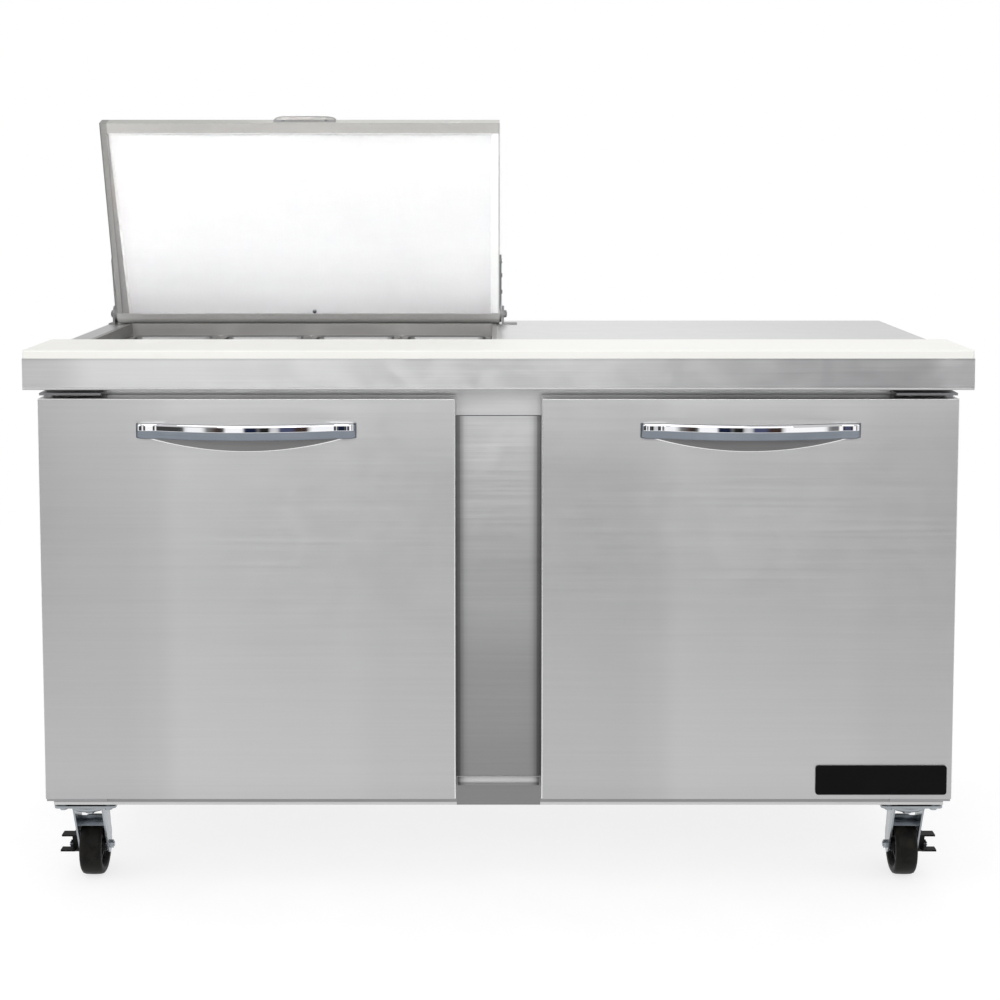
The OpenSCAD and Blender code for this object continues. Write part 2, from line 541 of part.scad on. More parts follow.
// side: which side the brake is on, 0 for none
module fork(side) {
    difference() {
        union() {
            leg(-24.5); leg(24.5);
            box(-26, 26, -24, 28, zp - 9, zp - 5);
            translate([0, 0, zp - 11]) cylinder(d = 58, h = 10.6);
        }
        translate([0, 0, 100]) cylinder(d = 12.12, h = 60);
    }
    // axle bolt with its head and nut
    rod_x(side < 0 ? -44 : -33, side > 0 ? 44 : 33, trail, wr, 8, 32);
    rod_x(side < 0 ? -42 : -31.5, side < 0 ? -36.4 : -26, trail, wr, 15, 6);
    rod_x(side > 0 ? 36.4 : 26, side > 0 ? 42 : 31.5, trail, wr, 15, 6);
    // brake shoe bridging the fork over the tread
    if (side != 0) along_x(-23.5, 23.5) polygon([[trail - 34, wr + 44], [trail - 30, wr + 50], [trail - 14, wr + 56], [trail - 14, wr + 52.5], [trail - 27, wr + 46.5]]);
}
module wheel() translate([0, trail, wr]) rotate([0, 90, 0]) rotate_extrude($fn = 96)
    polygon([[4.08, -20], [12, -20], [14, -13], [30, -11], [36, -16], [41, -wheel_w / 2], [wr - 5, -wheel_w / 2], [wr - 1.5, -wheel_w / 2 + 2], [wr, -wheel_w / 2 + 6],
        [wr, wheel_w / 2 - 6], [wr - 1.5, wheel_w / 2 - 2], [wr - 5, wheel_w / 2], [41, wheel_w / 2], [36, 16], [30, 11], [14, 13], [12, 20], [4.08, 20]]);
// cam lever on the outer side of the fork, with a tab to press it on and a tab to press it off
module brake(s) translate([0, trail, wr]) difference() {
    union() {
        along_x(s > 0 ? 26.4 : -36, s > 0 ? 36 : -26.4) { circle(13); polygon([[-13, 0], [-20, 22], [8, 22], [13, 0]]); }
        box(s > 0 ? 30 : -55, s > 0 ? 55 : -30, -15, 6, 18, 21);
        box(s > 0 ? 30 : -55, s > 0 ? 55 : -30, -26, -9, -4.5, -1.5);
    }
    rod_x(-60, 60, 0, 0, 8.14, 32);
}
module caster_fork_front_left() color("silver") translate([-cx, cyf, 0]) fork(-1);
module caster_fork_front_right() color("silver") translate([cx, cyf, 0]) fork(1);
module caster_fork_rear_left() color("silver") translate([-cx, cyr, 0]) fork(0);
module caster_fork_rear_right() color("silver") translate([cx, cyr, 0]) fork(0);
module caster_wheel_front_left() color("black") translate([-cx, cyf, 0]) wheel();
module caster_wheel_front_right() color("black") translate([cx, cyf, 0]) wheel();
module caster_wheel_rear_left() color("black") translate([-cx, cyr, 0]) wheel();
module caster_wheel_rear_right() color("black") translate([cx, cyr, 0]) wheel();
module brake_lever_left() color("black") translate([-cx, cyf, 0]) brake(-1);
module brake_lever_right() color("black") translate([cx, cyf, 0]) brake(1);

cabinet_casing();
front_frame();
mullion();
cabinet_insulation();
cabinet_liner();
worktop();
pan_well();
pan_divider_bar();
wire_shelves();
shelf_pilasters();
door_hinge_brackets();
lid_hinge_ears();
lid_bumpers();
rear_grille();
compressor();
condenser_coil();
condenser_fan_motor();
condenser_fan();
evaporator_coil();
evaporator_housing();
evaporator_fan();
refrigerant_lines();
thermostat_dial();
cord_gland();
caster_plates();
lid_shell();
lid_core();
lid_liner();
lid_handle();
lid_straps();
left_door_skin();
left_door_core();
left_door_liner();
left_door_gasket();
left_door_handle();
right_door_skin();
right_door_core();
right_door_liner();
right_door_gasket();
right_door_handle();
right_door_badge();
cutting_board();
pan(1, row_front);  // pan_front_1
pan(2, row_front);  // pan_front_2
pan(3, row_front);  // pan_front_3
pan(4, row_front);  // pan_front_4
pan(1, row_rear);  // pan_rear_1
pan(2, row_rear);  // pan_rear_2
pan(3, row_rear);  // pan_rear_3
pan(4, row_rear);  // pan_rear_4
caster_fork_front_left();
caster_fork_front_right();
caster_fork_rear_left();
caster_fork_rear_right();
caster_wheel_front_left();
caster_wheel_front_right();
caster_wheel_rear_left();
caster_wheel_rear_right();
brake_lever_left();
brake_lever_right();
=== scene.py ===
# Looks for the sandwich prep table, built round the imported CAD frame. Metres, +Z up, the frame's own axes.
import math

import bmesh
import bpy
from mathutils import Matrix, Vector


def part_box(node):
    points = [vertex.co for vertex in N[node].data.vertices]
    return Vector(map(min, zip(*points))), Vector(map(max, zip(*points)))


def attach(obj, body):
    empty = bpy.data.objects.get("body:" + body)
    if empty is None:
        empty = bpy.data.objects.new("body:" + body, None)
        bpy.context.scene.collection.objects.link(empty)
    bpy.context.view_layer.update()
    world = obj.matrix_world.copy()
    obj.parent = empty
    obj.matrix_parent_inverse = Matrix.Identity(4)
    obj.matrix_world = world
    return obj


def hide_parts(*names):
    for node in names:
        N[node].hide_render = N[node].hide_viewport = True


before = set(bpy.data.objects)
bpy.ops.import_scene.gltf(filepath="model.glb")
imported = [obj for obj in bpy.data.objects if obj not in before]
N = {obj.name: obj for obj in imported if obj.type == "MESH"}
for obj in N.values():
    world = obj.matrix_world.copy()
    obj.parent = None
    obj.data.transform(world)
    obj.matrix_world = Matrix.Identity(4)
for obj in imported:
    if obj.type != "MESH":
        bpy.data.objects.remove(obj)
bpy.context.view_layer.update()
scene = bpy.context.scene
scene.view_settings.view_transform = "Standard"
scene.view_settings.look = "None"

# ------------------------------------------------------------------ camera
cam_data = bpy.data.cameras.new("camera")
cam_data.lens = 67.31
cam_data.sensor_width = 36.0
cam_data.shift_y = -0.18
cam_data.shift_x = 0.0015
cam_data.clip_end = 100.0
cam = bpy.data.objects.new("camera", cam_data)
scene.collection.objects.link(cam)
cam.location = (0.0, -3.354, 1.213)
cam.rotation_euler = (math.radians(90.0 - 4.56), 0.0, 0.0)
scene.camera = cam


# ------------------------------------------------------------------ node helpers
class Mat:
    """A material being built: the tree, its shader, and short ways to add nodes."""

    def __init__(self, name):
        self.m = bpy.data.materials.new(name)
        self.m.use_nodes = True
        self.t = self.m.node_tree
        self.t.nodes.clear()
        self.out = self.t.nodes.new("ShaderNodeOutputMaterial")
        self.b = self.t.nodes.new("ShaderNodeBsdfPrincipled")
        self.t.links.new(self.b.outputs[0], self.out.inputs[0])
        self.coord = self.t.nodes.new("ShaderNodeTexCoord")

    def link(self, a, b):
        self.t.links.new(a, b)
        return b

    def node(self, kind, **k):
        n = self.t.nodes.new(kind)
        for key, v in k.items():
            setattr(n, key, v)
        return n

    def scaled(self, scale, vec=None):
        n = self.node("ShaderNodeMapping")
        self.link(vec or self.coord.outputs["Object"], n.inputs["Vector"])
        n.inputs["Scale"].default_value = scale
        return n.outputs[0]

    def noise(self, vec, scale=1.0, detail=3.0, rough=0.5, distort=0.0):
        n = self.node("ShaderNodeTexNoise")
        self.link(vec, n.inputs["Vector"])
        n.inputs["Scale"].default_value = scale
        n.inputs["Detail"].default_value = detail
        n.inputs["Roughness"].default_value = rough
        n.inputs["Distortion"].default_value = distort
        return n.outputs["Fac"]

    def ramp(self, fac, stops):
        n = self.node("ShaderNodeValToRGB")
        self.link(fac, n.inputs["Fac"])
        e = n.color_ramp.elements
        while len(e) < len(stops):
            e.new(0.5)
        for el, (p, c) in zip(e, stops):
            el.position = p
            el.color = (c, c, c, 1) if isinstance(c, (int, float)) else (*c, 1)
        return n.outputs["Color"]

    def mix(self, fac, a, b, blend="MIX"):
        n = self.node("ShaderNodeMix", data_type="RGBA", blend_type=blend)
        for value, sock in ((fac, n.inputs[0]), (a, n.inputs[6]), (b, n.inputs[7])):
            if hasattr(value, "is_linked") or hasattr(value, "links"):
                self.link(value, sock)
            elif isinstance(value, (int, float)):
                sock.default_value = value if sock.type == "VALUE" else (value, value, value, 1)
            else:
                sock.default_value = (*value, 1)
        return n.outputs[2]

    def math(self, op, a, b=0.0, clamp=False):
        n = self.node("ShaderNodeMath", operation=op)
        n.use_clamp = clamp
        for value, sock in ((a, n.inputs[0]), (b, n.inputs[1])):
            if hasattr(value, "links"):
                self.link(value, sock)
            else:
                sock.default_value = value
        return n.outputs[0]

    def bump(self, height, strength, distance, normal=None):
        n = self.node("ShaderNodeBump")
        self.link(height, n.inputs["Height"])
        n.inputs["Strength"].default_value = strength
        n.inputs["Distance"].default_value = distance
        if normal is not None:
            self.link(normal, n.inputs["Normal"])
        return n.outputs[0]

    def set(self, **k):
        for key, v in k.items():
            s = self.b.inputs[key.replace("_", " ")]
            s.default_value = (*v, 1) if isinstance(v, tuple) and len(v) == 3 and s.type == "RGBA" else v
        return self


def steel(name, tone, rough=0.30, aniso=0.6, streak=0.06, smudge=0.05, along="x", tint=(1.0, 1.0, 1.0), bump=0.12, painted_shades=()):
    """Brushed stainless: fine streaks along the grain, soft smudges, and highlights spread across the grain.
    On faces that look along X the grain runs along Y, elsewhere along X, or along Z everywhere if along is z."""
    m = Mat(name)
    obj = m.coord.outputs["Object"]
    if along == "z":
        coarse, fine = m.scaled((260, 260, 2.2)), m.scaled((1100, 1100, 6))
        grain_axis = (0, 0, 1)
        side = None
    else:
        sep = m.node("ShaderNodeSeparateXYZ")
        m.link(m.coord.outputs["Normal"], sep.inputs[0])
        side = m.math("GREATER_THAN", m.math("ABSOLUTE", sep.outputs[0]), 0.75)
        coarse = m.mix(side, m.scaled((2.2, 260, 260)), m.scaled((260, 2.2, 260)))
        fine = m.mix(side, m.scaled((6, 1100, 1100)), m.scaled((1100, 6, 1100)))
        grain_axis = (1, 0, 0)
    s1 = m.noise(coarse, 1.0, 4.0, 0.62)
    s2 = m.noise(fine, 1.0, 2.0, 0.5)
    both = m.math("ADD", m.math("MULTIPLY", s1, 0.6), m.math("MULTIPLY", s2, 0.4))
    cloud = m.noise(m.scaled((1, 1, 1)), 2.3, 4.0, 0.6, 0.4)
    hand = m.noise(m.scaled((1, 1, 1)), 11.0, 5.0, 0.62, 0.8)
    lo, hi = tone * (1 - streak), tone * (1 + streak)
    col = m.ramp(both, [(0.30, tuple(lo * c for c in tint)), (0.70, tuple(hi * c for c in tint))])
    col = m.mix(m.math("MULTIPLY", m.ramp(cloud, [(0.35, 0.0), (0.75, 1.0)]), 0.10), col, tuple(tone * 0.86 * c for c in tint))
    # painted light and shade: slow tone ramps along one axis, copying how light and reflections fall across the part,
    # on front faces only where asked
    for axis, lo_at, hi_at, stops, front_only in painted_shades:
        xyz = m.node("ShaderNodeSeparateXYZ")
        m.link(obj, xyz.inputs[0])
        u = m.math("DIVIDE", m.math("SUBTRACT", xyz.outputs["XYZ".index(axis)], lo_at), hi_at - lo_at, clamp=True)
        shade = m.ramp(u, stops)
        shade_node = shade.node
        shade_node.color_ramp.interpolation = "EASE"
        if front_only:
            nsep = m.node("ShaderNodeSeparateXYZ")
            m.link(m.coord.outputs["Normal"], nsep.inputs[0])
            facing = m.math("GREATER_THAN", m.math("MULTIPLY", nsep.outputs[1], -1.0), 0.5)
            shade = m.mix(facing, 1.0, shade)
        col = m.mix(1.0, col, shade, "MULTIPLY")
    m.link(col, m.b.inputs["Base Color"])
    wear = m.ramp(hand, [(0.42, 0.0), (0.72, 1.0)])
    r = m.math("ADD", m.math("MULTIPLY", both, 0.14), rough - 0.07)
    r = m.math("ADD", r, m.math("MULTIPLY", wear, smudge))
    m.link(r, m.b.inputs["Roughness"])
    m.link(m.bump(both, bump, 0.00025), m.b.inputs["Normal"])
    m.set(Metallic=1.0, Anisotropic=aniso)
    # highlights spread across the grain
    geo = m.node("ShaderNodeNewGeometry")
    vt = m.node("ShaderNodeVectorTransform", vector_type="VECTOR", convert_from="OBJECT", convert_to="WORLD")
    if side is None:
        vt.inputs[0].default_value = grain_axis
    else:
        m.link(m.mix(side, (1, 0, 0), (0, 1, 0)), vt.inputs[0])
    cr = m.node("ShaderNodeVectorMath", operation="CROSS_PRODUCT")
    m.link(geo.outputs["Normal"], cr.inputs[0])
    m.link(vt.outputs[0], cr.inputs[1])
    nm = m.node("ShaderNodeVectorMath", operation="NORMALIZE")
    m.link(cr.outputs[0], nm.inputs[0])
    m.link(nm.outputs[0], m.b.inputs["Tangent"])
    return m.m


def plain(name, col, rough=0.4, metal=0.0, var=0.06, grain=180.0, bump=0.05, dist=0.0004, rough_var=0.12, coat=0.0, spec=0.5, col2=None):
    """Moulded, cast or painted surface: fine grain, slow colour drift and uneven gloss."""
    m = Mat(name)
    v = m.coord.outputs["Object"]
    fine = m.noise(v, grain, 3.0, 0.6)
    slow = m.noise(v, 6.0, 4.0, 0.6, 0.3)
    dark = tuple(c * (1 - var) for c in col)
    light = col2 or tuple(min(1.0, c * (1 + var)) for c in col)
    c1 = m.ramp(slow, [(0.30, dark), (0.72, light)])
    c1 = m.mix(m.math("MULTIPLY", m.ramp(fine, [(0.45, 0.0), (0.75, 1.0)]), 0.25), c1, dark)
    m.link(c1, m.b.inputs["Base Color"])
    r = m.math("ADD", m.math("MULTIPLY", m.ramp(slow, [(0.35, 0.0), (0.7, 1.0)]), rough_var), rough - rough_var * 0.5)
    r = m.math("ADD", r, m.math("MULTIPLY", fine, 0.04), clamp=True)
    m.link(r, m.b.inputs["Roughness"])
    m.link(m.bump(fine, bump, dist), m.b.inputs["Normal"])
    m.set(Metallic=metal)
    m.b.inputs["Specular IOR Level"].default_value = spec
    if coat:
        m.b.inputs["Coat Weight"].default_value = coat
        m.b.inputs["Coat Roughness"].default_value = 0.08
    return m.m


def bright_liner(name):
    """Smooth white liner with painted shade: greyer towards the hinge side and whitest at the top."""
    m = Mat(name)
    v = m.coord.outputs["Object"]
    slow = m.noise(v, 5.0, 3.0, 0.6, 0.2)
    fine = m.noise(v, 90.0, 3.0, 0.6)
    sep = m.node("ShaderNodeSeparateXYZ")
    m.link(v, sep.inputs[0])
    up = m.math("MULTIPLY", m.math("SUBTRACT", sep.outputs[2], 0.93), 1 / 0.38, clamp=True)
    # painted shade: the white darkens towards the lid's hinge end
    col = m.ramp(up, [(0.0, (0.66, 0.66, 0.665)), (0.04, (0.69, 0.69, 0.695)), (0.13, (0.84, 0.84, 0.845)), (0.24, (0.92, 0.92, 0.925)), (0.36, (0.965, 0.965, 0.97)), (1.0, (0.985, 0.985, 0.985))])
    col = m.mix(m.math("MULTIPLY", m.ramp(slow, [(0.4, 0.0), (0.75, 1.0)]), 0.03), col, (0.86, 0.86, 0.865))
    m.link(col, m.b.inputs["Base Color"])
    r = m.math("ADD", m.math("MULTIPLY", slow, 0.08), 0.20)
    m.link(m.math("ADD", r, m.math("MULTIPLY", fine, 0.02)), m.b.inputs["Roughness"])
    m.link(m.bump(fine, 0.01, 0.0002), m.b.inputs["Normal"])
    m.set(Metallic=0.05)
    m.b.inputs["Specular IOR Level"].default_value = 0.6
    return m.m


def chrome(name, tone=0.86, rough=0.05):
    m = Mat(name)
    v = m.coord.outputs["Object"]
    slow = m.noise(v, 14.0, 4.0, 0.6, 0.5)
    hair = m.noise(m.scaled((30, 900, 900)), 1.0, 2.0, 0.5)
    m.link(m.ramp(slow, [(0.3, (tone * 0.95, tone * 0.96, tone)), (0.7, (tone, tone, tone * 1.02))]), m.b.inputs["Base Color"])
    r = m.math("ADD", m.math("MULTIPLY", m.ramp(slow, [(0.45, 0.0), (0.75, 1.0)]), 0.03), rough)
    m.link(m.math("ADD", r, m.math("MULTIPLY", hair, 0.015)), m.b.inputs["Roughness"])
    m.link(m.bump(hair, 0.02, 0.0002), m.b.inputs["Normal"])
    m.set(Metallic=1.0)
    return m.m


def board_material():
    """White polyethylene: fine matte grain, faint knife scuffs and the slight yellowing of use, with painted shade on
    its side faces.
    """
    m = Mat("cutting_board_white")
    v = m.coord.outputs["Object"]
    grain = m.noise(v, 900.0, 2.0, 0.6)
    slow = m.noise(v, 3.5, 4.0, 0.6, 0.4)
    cut_a = m.noise(m.scaled((14, 420, 14)), 1.0, 2.0, 0.4, 0.15)
    cut_b = m.noise(m.scaled((380, 26, 14)), 1.0, 2.0, 0.4, 0.15)
    a = m.ramp(cut_a, [(0.66, 0.0), (0.70, 1.0)])
    b = m.ramp(cut_b, [(0.67, 0.0), (0.71, 1.0)])
    cuts = m.math("MAXIMUM", a, b)
    area = m.ramp(m.noise(v, 4.5, 3.0, 0.5), [(0.45, 0.0), (0.65, 1.0)])
    cuts = m.math("MULTIPLY", cuts, area)
    col = m.ramp(slow, [(0.30, (0.862, 0.857, 0.818)), (0.70, (0.890, 0.886, 0.856))])
    col = m.mix(m.math("MULTIPLY", cuts, 0.22), col, (0.74, 0.72, 0.66))
    nsep = m.node("ShaderNodeSeparateXYZ")
    m.link(m.coord.outputs["Normal"], nsep.inputs[0])
    # painted shade: faces that don't look up are darkened a little
    side = m.math("LESS_THAN", nsep.outputs[2], 0.5)
    col = m.mix(m.math("MULTIPLY", side, 0.10), col, (0.30, 0.29, 0.26))
    m.link(col, m.b.inputs["Base Color"])
    m.link(m.math("ADD", m.math("MULTIPLY", slow, 0.12), 0.42), m.b.inputs["Roughness"])
    n1 = m.bump(grain, 0.10, 0.0003)
    m.link(m.bump(m.math("SUBTRACT", 1.0, cuts), 0.25, 0.0004, n1), m.b.inputs["Normal"])
    m.b.inputs["Subsurface Weight"].default_value = 0.05
    m.b.inputs["Subsurface Radius"].default_value = (0.004, 0.004, 0.003)
    return m.m


def rubber_tread():
    """Hard caster tread: scuffed black with dust worked into it."""
    m = Mat("caster_tread")
    v = m.coord.outputs["Object"]
    dust = m.ramp(m.noise(v, 45.0, 6.0, 0.7, 0.5), [(0.42, 0.0), (0.72, 1.0)])
    fine = m.noise(v, 700.0, 2.0, 0.6)
    col = m.mix(m.math("MULTIPLY", dust, 0.45), (0.0028, 0.0028, 0.0026), (0.030, 0.028, 0.020))
    m.link(col, m.b.inputs["Base Color"])
    m.link(m.math("ADD", m.math("MULTIPLY", dust, 0.25), 0.42), m.b.inputs["Roughness"])
    m.link(m.bump(fine, 0.12, 0.0004), m.b.inputs["Normal"])
    m.b.inputs["Specular IOR Level"].default_value = 0.12
    return m.m


def foam():
    m = Mat("foam")
    v = m.coord.outputs["Object"]
    cell = m.node("ShaderNodeTexVoronoi")
    m.link(v, cell.inputs["Vector"])
    cell.inputs["Scale"].default_value = 600.0
    slow = m.noise(v, 12.0, 4.0, 0.6)
    m.link(m.ramp(slow, [(0.3, (0.70, 0.60, 0.36)), (0.7, (0.83, 0.74, 0.50))]), m.b.inputs["Base Color"])
    m.link(m.math("ADD", m.math("MULTIPLY", slow, 0.1), 0.8), m.b.inputs["Roughness"])
    m.link(m.bump(cell.outputs["Distance"], 0.4, 0.0008), m.b.inputs["Normal"])
    return m.m


def copper():
    m = Mat("copper_tube")
    v = m.coord.outputs["Object"]
    slow = m.noise(v, 26.0, 5.0, 0.65, 0.5)
    m.link(m.ramp(slow, [(0.30, (0.42, 0.18, 0.09)), (0.62, (0.78, 0.40, 0.24)), (0.85, (0.86, 0.52, 0.36))]), m.b.inputs["Base Color"])
    m.link(m.math("ADD", m.math("MULTIPLY", slow, 0.25), 0.18), m.b.inputs["Roughness"])
    m.link(m.bump(m.noise(v, 400.0, 2.0), 0.06, 0.0003), m.b.inputs["Normal"])
    m.set(Metallic=1.0)
    return m.m


# painted light on the door fronts: lighter and darker bands across the width and a brighter top, copying reflections
# and the fall of light, on front faces only
def DOOR_PAINTED_SHADES(x0):
    return [("X", x0, x0 + 0.678, [(0.0, 0.90), (0.20, 0.89), (0.27, 0.92), (0.34, 1.0), (0.72, 0.99), (0.84, 0.94), (1.0, 0.92)], True),
            ("Z", 0.179, 0.845, [(0.0, 0.93), (0.06, 0.97), (0.86, 1.0), (0.93, 1.03), (1.0, 1.10)], True)]


M = {
    # both door steels carry that painted light; the right door's copy is a little darker
    "door": steel("door_steel", 0.55, 0.34, 0.55, 0.035, 0.03, painted_shades=DOOR_PAINTED_SHADES(-0.7485)),
    "door_r": steel("door_steel_right", 0.535, 0.34, 0.55, 0.035, 0.03, painted_shades=DOOR_PAINTED_SHADES(0.0705)),
    "steel": steel("body_steel", 0.55, 0.33, 0.5, 0.05, 0.05),
    # frame steel with painted shade along the bottom rail under the doors, and painted light making the header brighter
    "frame": steel("frame_steel", 0.60, 0.33, 0.5, 0.05, 0.05, painted_shades=[("Z", 0.148, 0.200, [(0.0, 1.0), (0.08, 1.0), (0.12, 0.48), (0.30, 0.45), (0.62, 0.60), (1.0, 1.0)], True), ("Z", 0.780, 0.830, [(0.0, 1.0), (1.0, 1.30)], True)]),
    # worktop steel with painted light and shade: the fascia drifts lighter and darker from left to right, a painted
    # shade line runs along its top under the board, and the sheet darkens towards the right end
    "top": steel("worktop_steel", 0.62, 0.30, 0.45, 0.05, 0.06, painted_shades=[("X", -0.762, 0.762, [(0.0, 1.02), (0.03, 1.03), (0.08, 1.22), (0.30, 1.27), (0.55, 1.20), (0.80, 0.89), (0.945, 0.90), (0.975, 1.22), (1.0, 1.22)], True), ("Z", 0.900, 0.914, [(0.0, 1.0), (0.72, 1.0), (0.86, 0.84), (1.0, 0.80)], True), ("X", 0.2, 0.762, [(0.0, 1.0), (1.0, 0.83)], False)]),
    # mullion steel with painted shade, dark along both sides next to the doors and towards the bottom, and painted
    # light brightening its top
    "post": steel("post_steel", 0.62, 0.30, 0.55, 0.06, 0.04, painted_shades=[("X", -0.0705, 0.0705, [(0.0, 0.30), (0.035, 0.34), (0.06, 0.66), (0.11, 0.94), (0.15, 1.0), (0.85, 1.0), (0.89, 0.94), (0.94, 0.66), (0.965, 0.34), (1.0, 0.30)], False), ("Z", 0.20, 0.82, [(0.0, 0.42), (0.25, 0.50), (0.55, 0.72), (0.80, 0.96), (0.90, 1.14), (1.0, 1.24)], False)]),
    "well": steel("well_steel", 0.38, 0.36, 0.3, 0.05, 0.06, tint=(1.0, 0.985, 0.96)),
    # lid steel with painted shade darkening its left rim
    "lid": steel("lid_steel", 0.53, 0.34, 0.4, 0.04, 0.05, tint=(1.0, 0.995, 0.96), painted_shades=[("X", -0.744, -0.7295, [(0.0, 0.62), (0.88, 0.62), (1.0, 1.0)], False)]),
    "pull": steel("pull_steel", 0.30, 0.48, 0.3, 0.04, 0.04, tint=(1.0, 0.995, 0.97)),
    # pan steel with painted shade: darker towards the rim, against the bright reflections seen there
    "pan": steel("pan_steel", 0.58, 0.20, 0.2, 0.05, 0.07, along="z", bump=0.05, painted_shades=[("Z", 0.82, 0.90, [(0.0, 1.0), (0.25, 0.95), (0.80, 0.46), (0.88, 0.36), (1.0, 0.40)], False)]),
    "satin": plain("satin_aluminium", (0.62, 0.63, 0.64), 0.34, 1.0, 0.05, 500.0, 0.05),
    "fins": plain("coil_fins", (0.60, 0.61, 0.62), 0.36, 1.0, 0.10, 260.0, 0.10),
    "zinc": plain("zinc_plate", (0.27, 0.29, 0.31), 0.20, 1.0, 0.12, 120.0, 0.04, rough_var=0.16, col2=(0.42, 0.45, 0.48)),
    "dark_zinc": plain("hinge_plate", (0.20, 0.20, 0.20), 0.34, 1.0, 0.12, 160.0, 0.05),
    "galvanised": plain("galvanised_sheet", (0.46, 0.47, 0.48), 0.40, 1.0, 0.16, 28.0, 0.05, rough_var=0.2),
    "enamel": plain("black_enamel", (0.018, 0.018, 0.019), 0.30, 0.0, 0.2, 90.0, 0.06, coat=0.4),
    "copper": copper(),
    "liner": bright_liner("bright_liner"),
    "tray_wall": steel("lid_wall_steel", 0.56, 0.34, 0.3, 0.05, 0.05, tint=(1.0, 0.985, 0.96)),
    "heel": plain("heel_strip", (0.50, 0.50, 0.485), 0.45, 0.10, 0.05, 200.0, 0.05),
    "seam": plain("seam_sealant", (0.10, 0.10, 0.105), 0.6, 0.0, 0.1, 300.0, 0.08),
    "hem": steel("worktop_hem", 0.50, 0.34, 0.2, 0.03, 0.03),
    # darker, bluer chrome copy as painted shade for the handles' lower band and ends
    "under": plain("chrome_painted_shade_lower", (0.20, 0.225, 0.26), 0.12, 1.0, 0.08, 40.0, 0.02, rough_var=0.08, col2=(0.25, 0.275, 0.31)),
    "white": plain("white_plastic", (0.84, 0.84, 0.82), 0.32, 0.0, 0.03, 220.0, 0.06),
    "black": plain("black_plastic", (0.0045, 0.0045, 0.0045), 0.45, 0.0, 0.25, 320.0, 0.10, spec=0.14),
    "badge": plain("badge_black", (0.0045, 0.0042, 0.0045), 0.40, 0.0, 0.2, 60.0, 0.02, spec=0.05),
    "gasket": plain("gasket_grey", (0.20, 0.20, 0.205), 0.55, 0.0, 0.10, 300.0, 0.10),
    "rubber": plain("bumper_rubber", (0.02, 0.02, 0.02), 0.7, 0.0, 0.2, 300.0, 0.12),
    "epoxy": plain("epoxy_wire", (0.86, 0.86, 0.84), 0.28, 0.0, 0.04, 240.0, 0.06),
    "bead": plain("white_seam", (0.97, 0.97, 0.96), 0.45, 0.0, 0.01, 240.0, 0.06),
    "board": board_material(),
    "tread": rubber_tread(),
    # brighter copy of the door steel as a painted highlight on folds and edges
    "edge": steel("fold_painted_highlight", 0.92, 0.22, 0.2, 0.02, 0.02),
    "bracket": plain("bracket_plate", (0.34, 0.34, 0.35), 0.42, 1.0, 0.14, 160.0, 0.05),
    # sill cover steel: dark tone as painted shade on the bottom rail between the doors
    "sill_painted_shade": steel("sill_cover_painted_shade", 0.235, 0.32, 0.4, 0.04, 0.04),
    # closing sheet with painted shade: darker towards the right end of the gap under the worktop
    "under_sheet": steel("closing_sheet", 0.66, 0.45, 0.2, 0.04, 0.05, painted_shades=[("X", -0.74, 0.74, [(0.0, 1.0), (0.60, 0.95), (0.76, 0.30), (1.0, 0.22)], False)]),
    "chrome": chrome("chrome", 0.88, 0.02),
    "foam": foam(),
    # dark steel for the crescent under each handle, a painted shadow
    "painted_shadow_crescent": steel("handle_painted_shadow_plate", 0.25, 0.30, 0.5, 0.04, 0.04),
}


def paint(node, mat):
    N[node].data.materials.clear()
    N[node].data.materials.append(M[mat])


def soften(node, width, segments=2, angle=38.0):
    """Weld, then round the edges of a CAD node by modifier only."""
    o = N[node]
    for attr in ("custom_normal",):
        if attr in o.data.attributes:
            o.data.attributes.remove(o.data.attributes[attr])
    for p in o.data.polygons:
        p.use_smooth = True
    w = o.modifiers.new("weld", "WELD")
    w.merge_threshold = 0.00002
    if width:
        b = o.modifiers.new("bevel", "BEVEL")
        b.width = width
        b.segments = segments
        b.limit_method = "ANGLE"
        b.angle_limit = math.radians(angle)
        b.harden_normals = True
        b.use_clamp_overlap = True


# ------------------------------------------------------------------ mesh helpers
def finish_mesh(name, bm, mat, body, smooth=True, angle=35.0, recalc=True):
    if recalc:
        bmesh.ops.recalc_face_normals(bm, faces=bm.faces)
    me = bpy.data.meshes.new(name)
    bm.to_mesh(me)
    bm.free()
    me.materials.append(M[mat])
    for p in me.polygons:
        p.use_smooth = smooth
    if smooth:
        me.set_sharp_from_angle(angle=math.radians(angle))
    o = bpy.data.objects.new(name, me)
    scene.collection.objects.link(o)
    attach(o, body)
    return o


def ring(bm, pts):
    return [bm.verts.new(p) for p in pts]


def bridge(bm, a, b, closed=True):
    n = len(a)
    for i in range(n if closed else n - 1):
        j = (i + 1) % n
        bm.faces.new((a[i], a[j], b[j], b[i]))


def rounded_rect(hx, hy, r, seg=6):
    """Points round a rounded rectangle, centred on the origin."""
    pts = []
    for k, (sx, sy) in enumerate(((1, 1), (-1, 1), (-1, -1), (1, -1))):
        for i in range(seg + 1):
            a = math.pi / 2 * (k + i / seg)
            pts.append((sx * (hx - r) + r * math.cos(a), sy * (hy - r) + r * math.sin(a)))
    return pts


def loft(bm, loops, cap_start=True, cap_end=True):
    rings = [ring(bm, l) for l in loops]
    for a, b in zip(rings, rings[1:]):
        bridge(bm, a, b)
    if cap_start:
        bm.faces.new(list(reversed(rings[0])))
    if cap_end:
        bm.faces.new(rings[-1])
    return rings


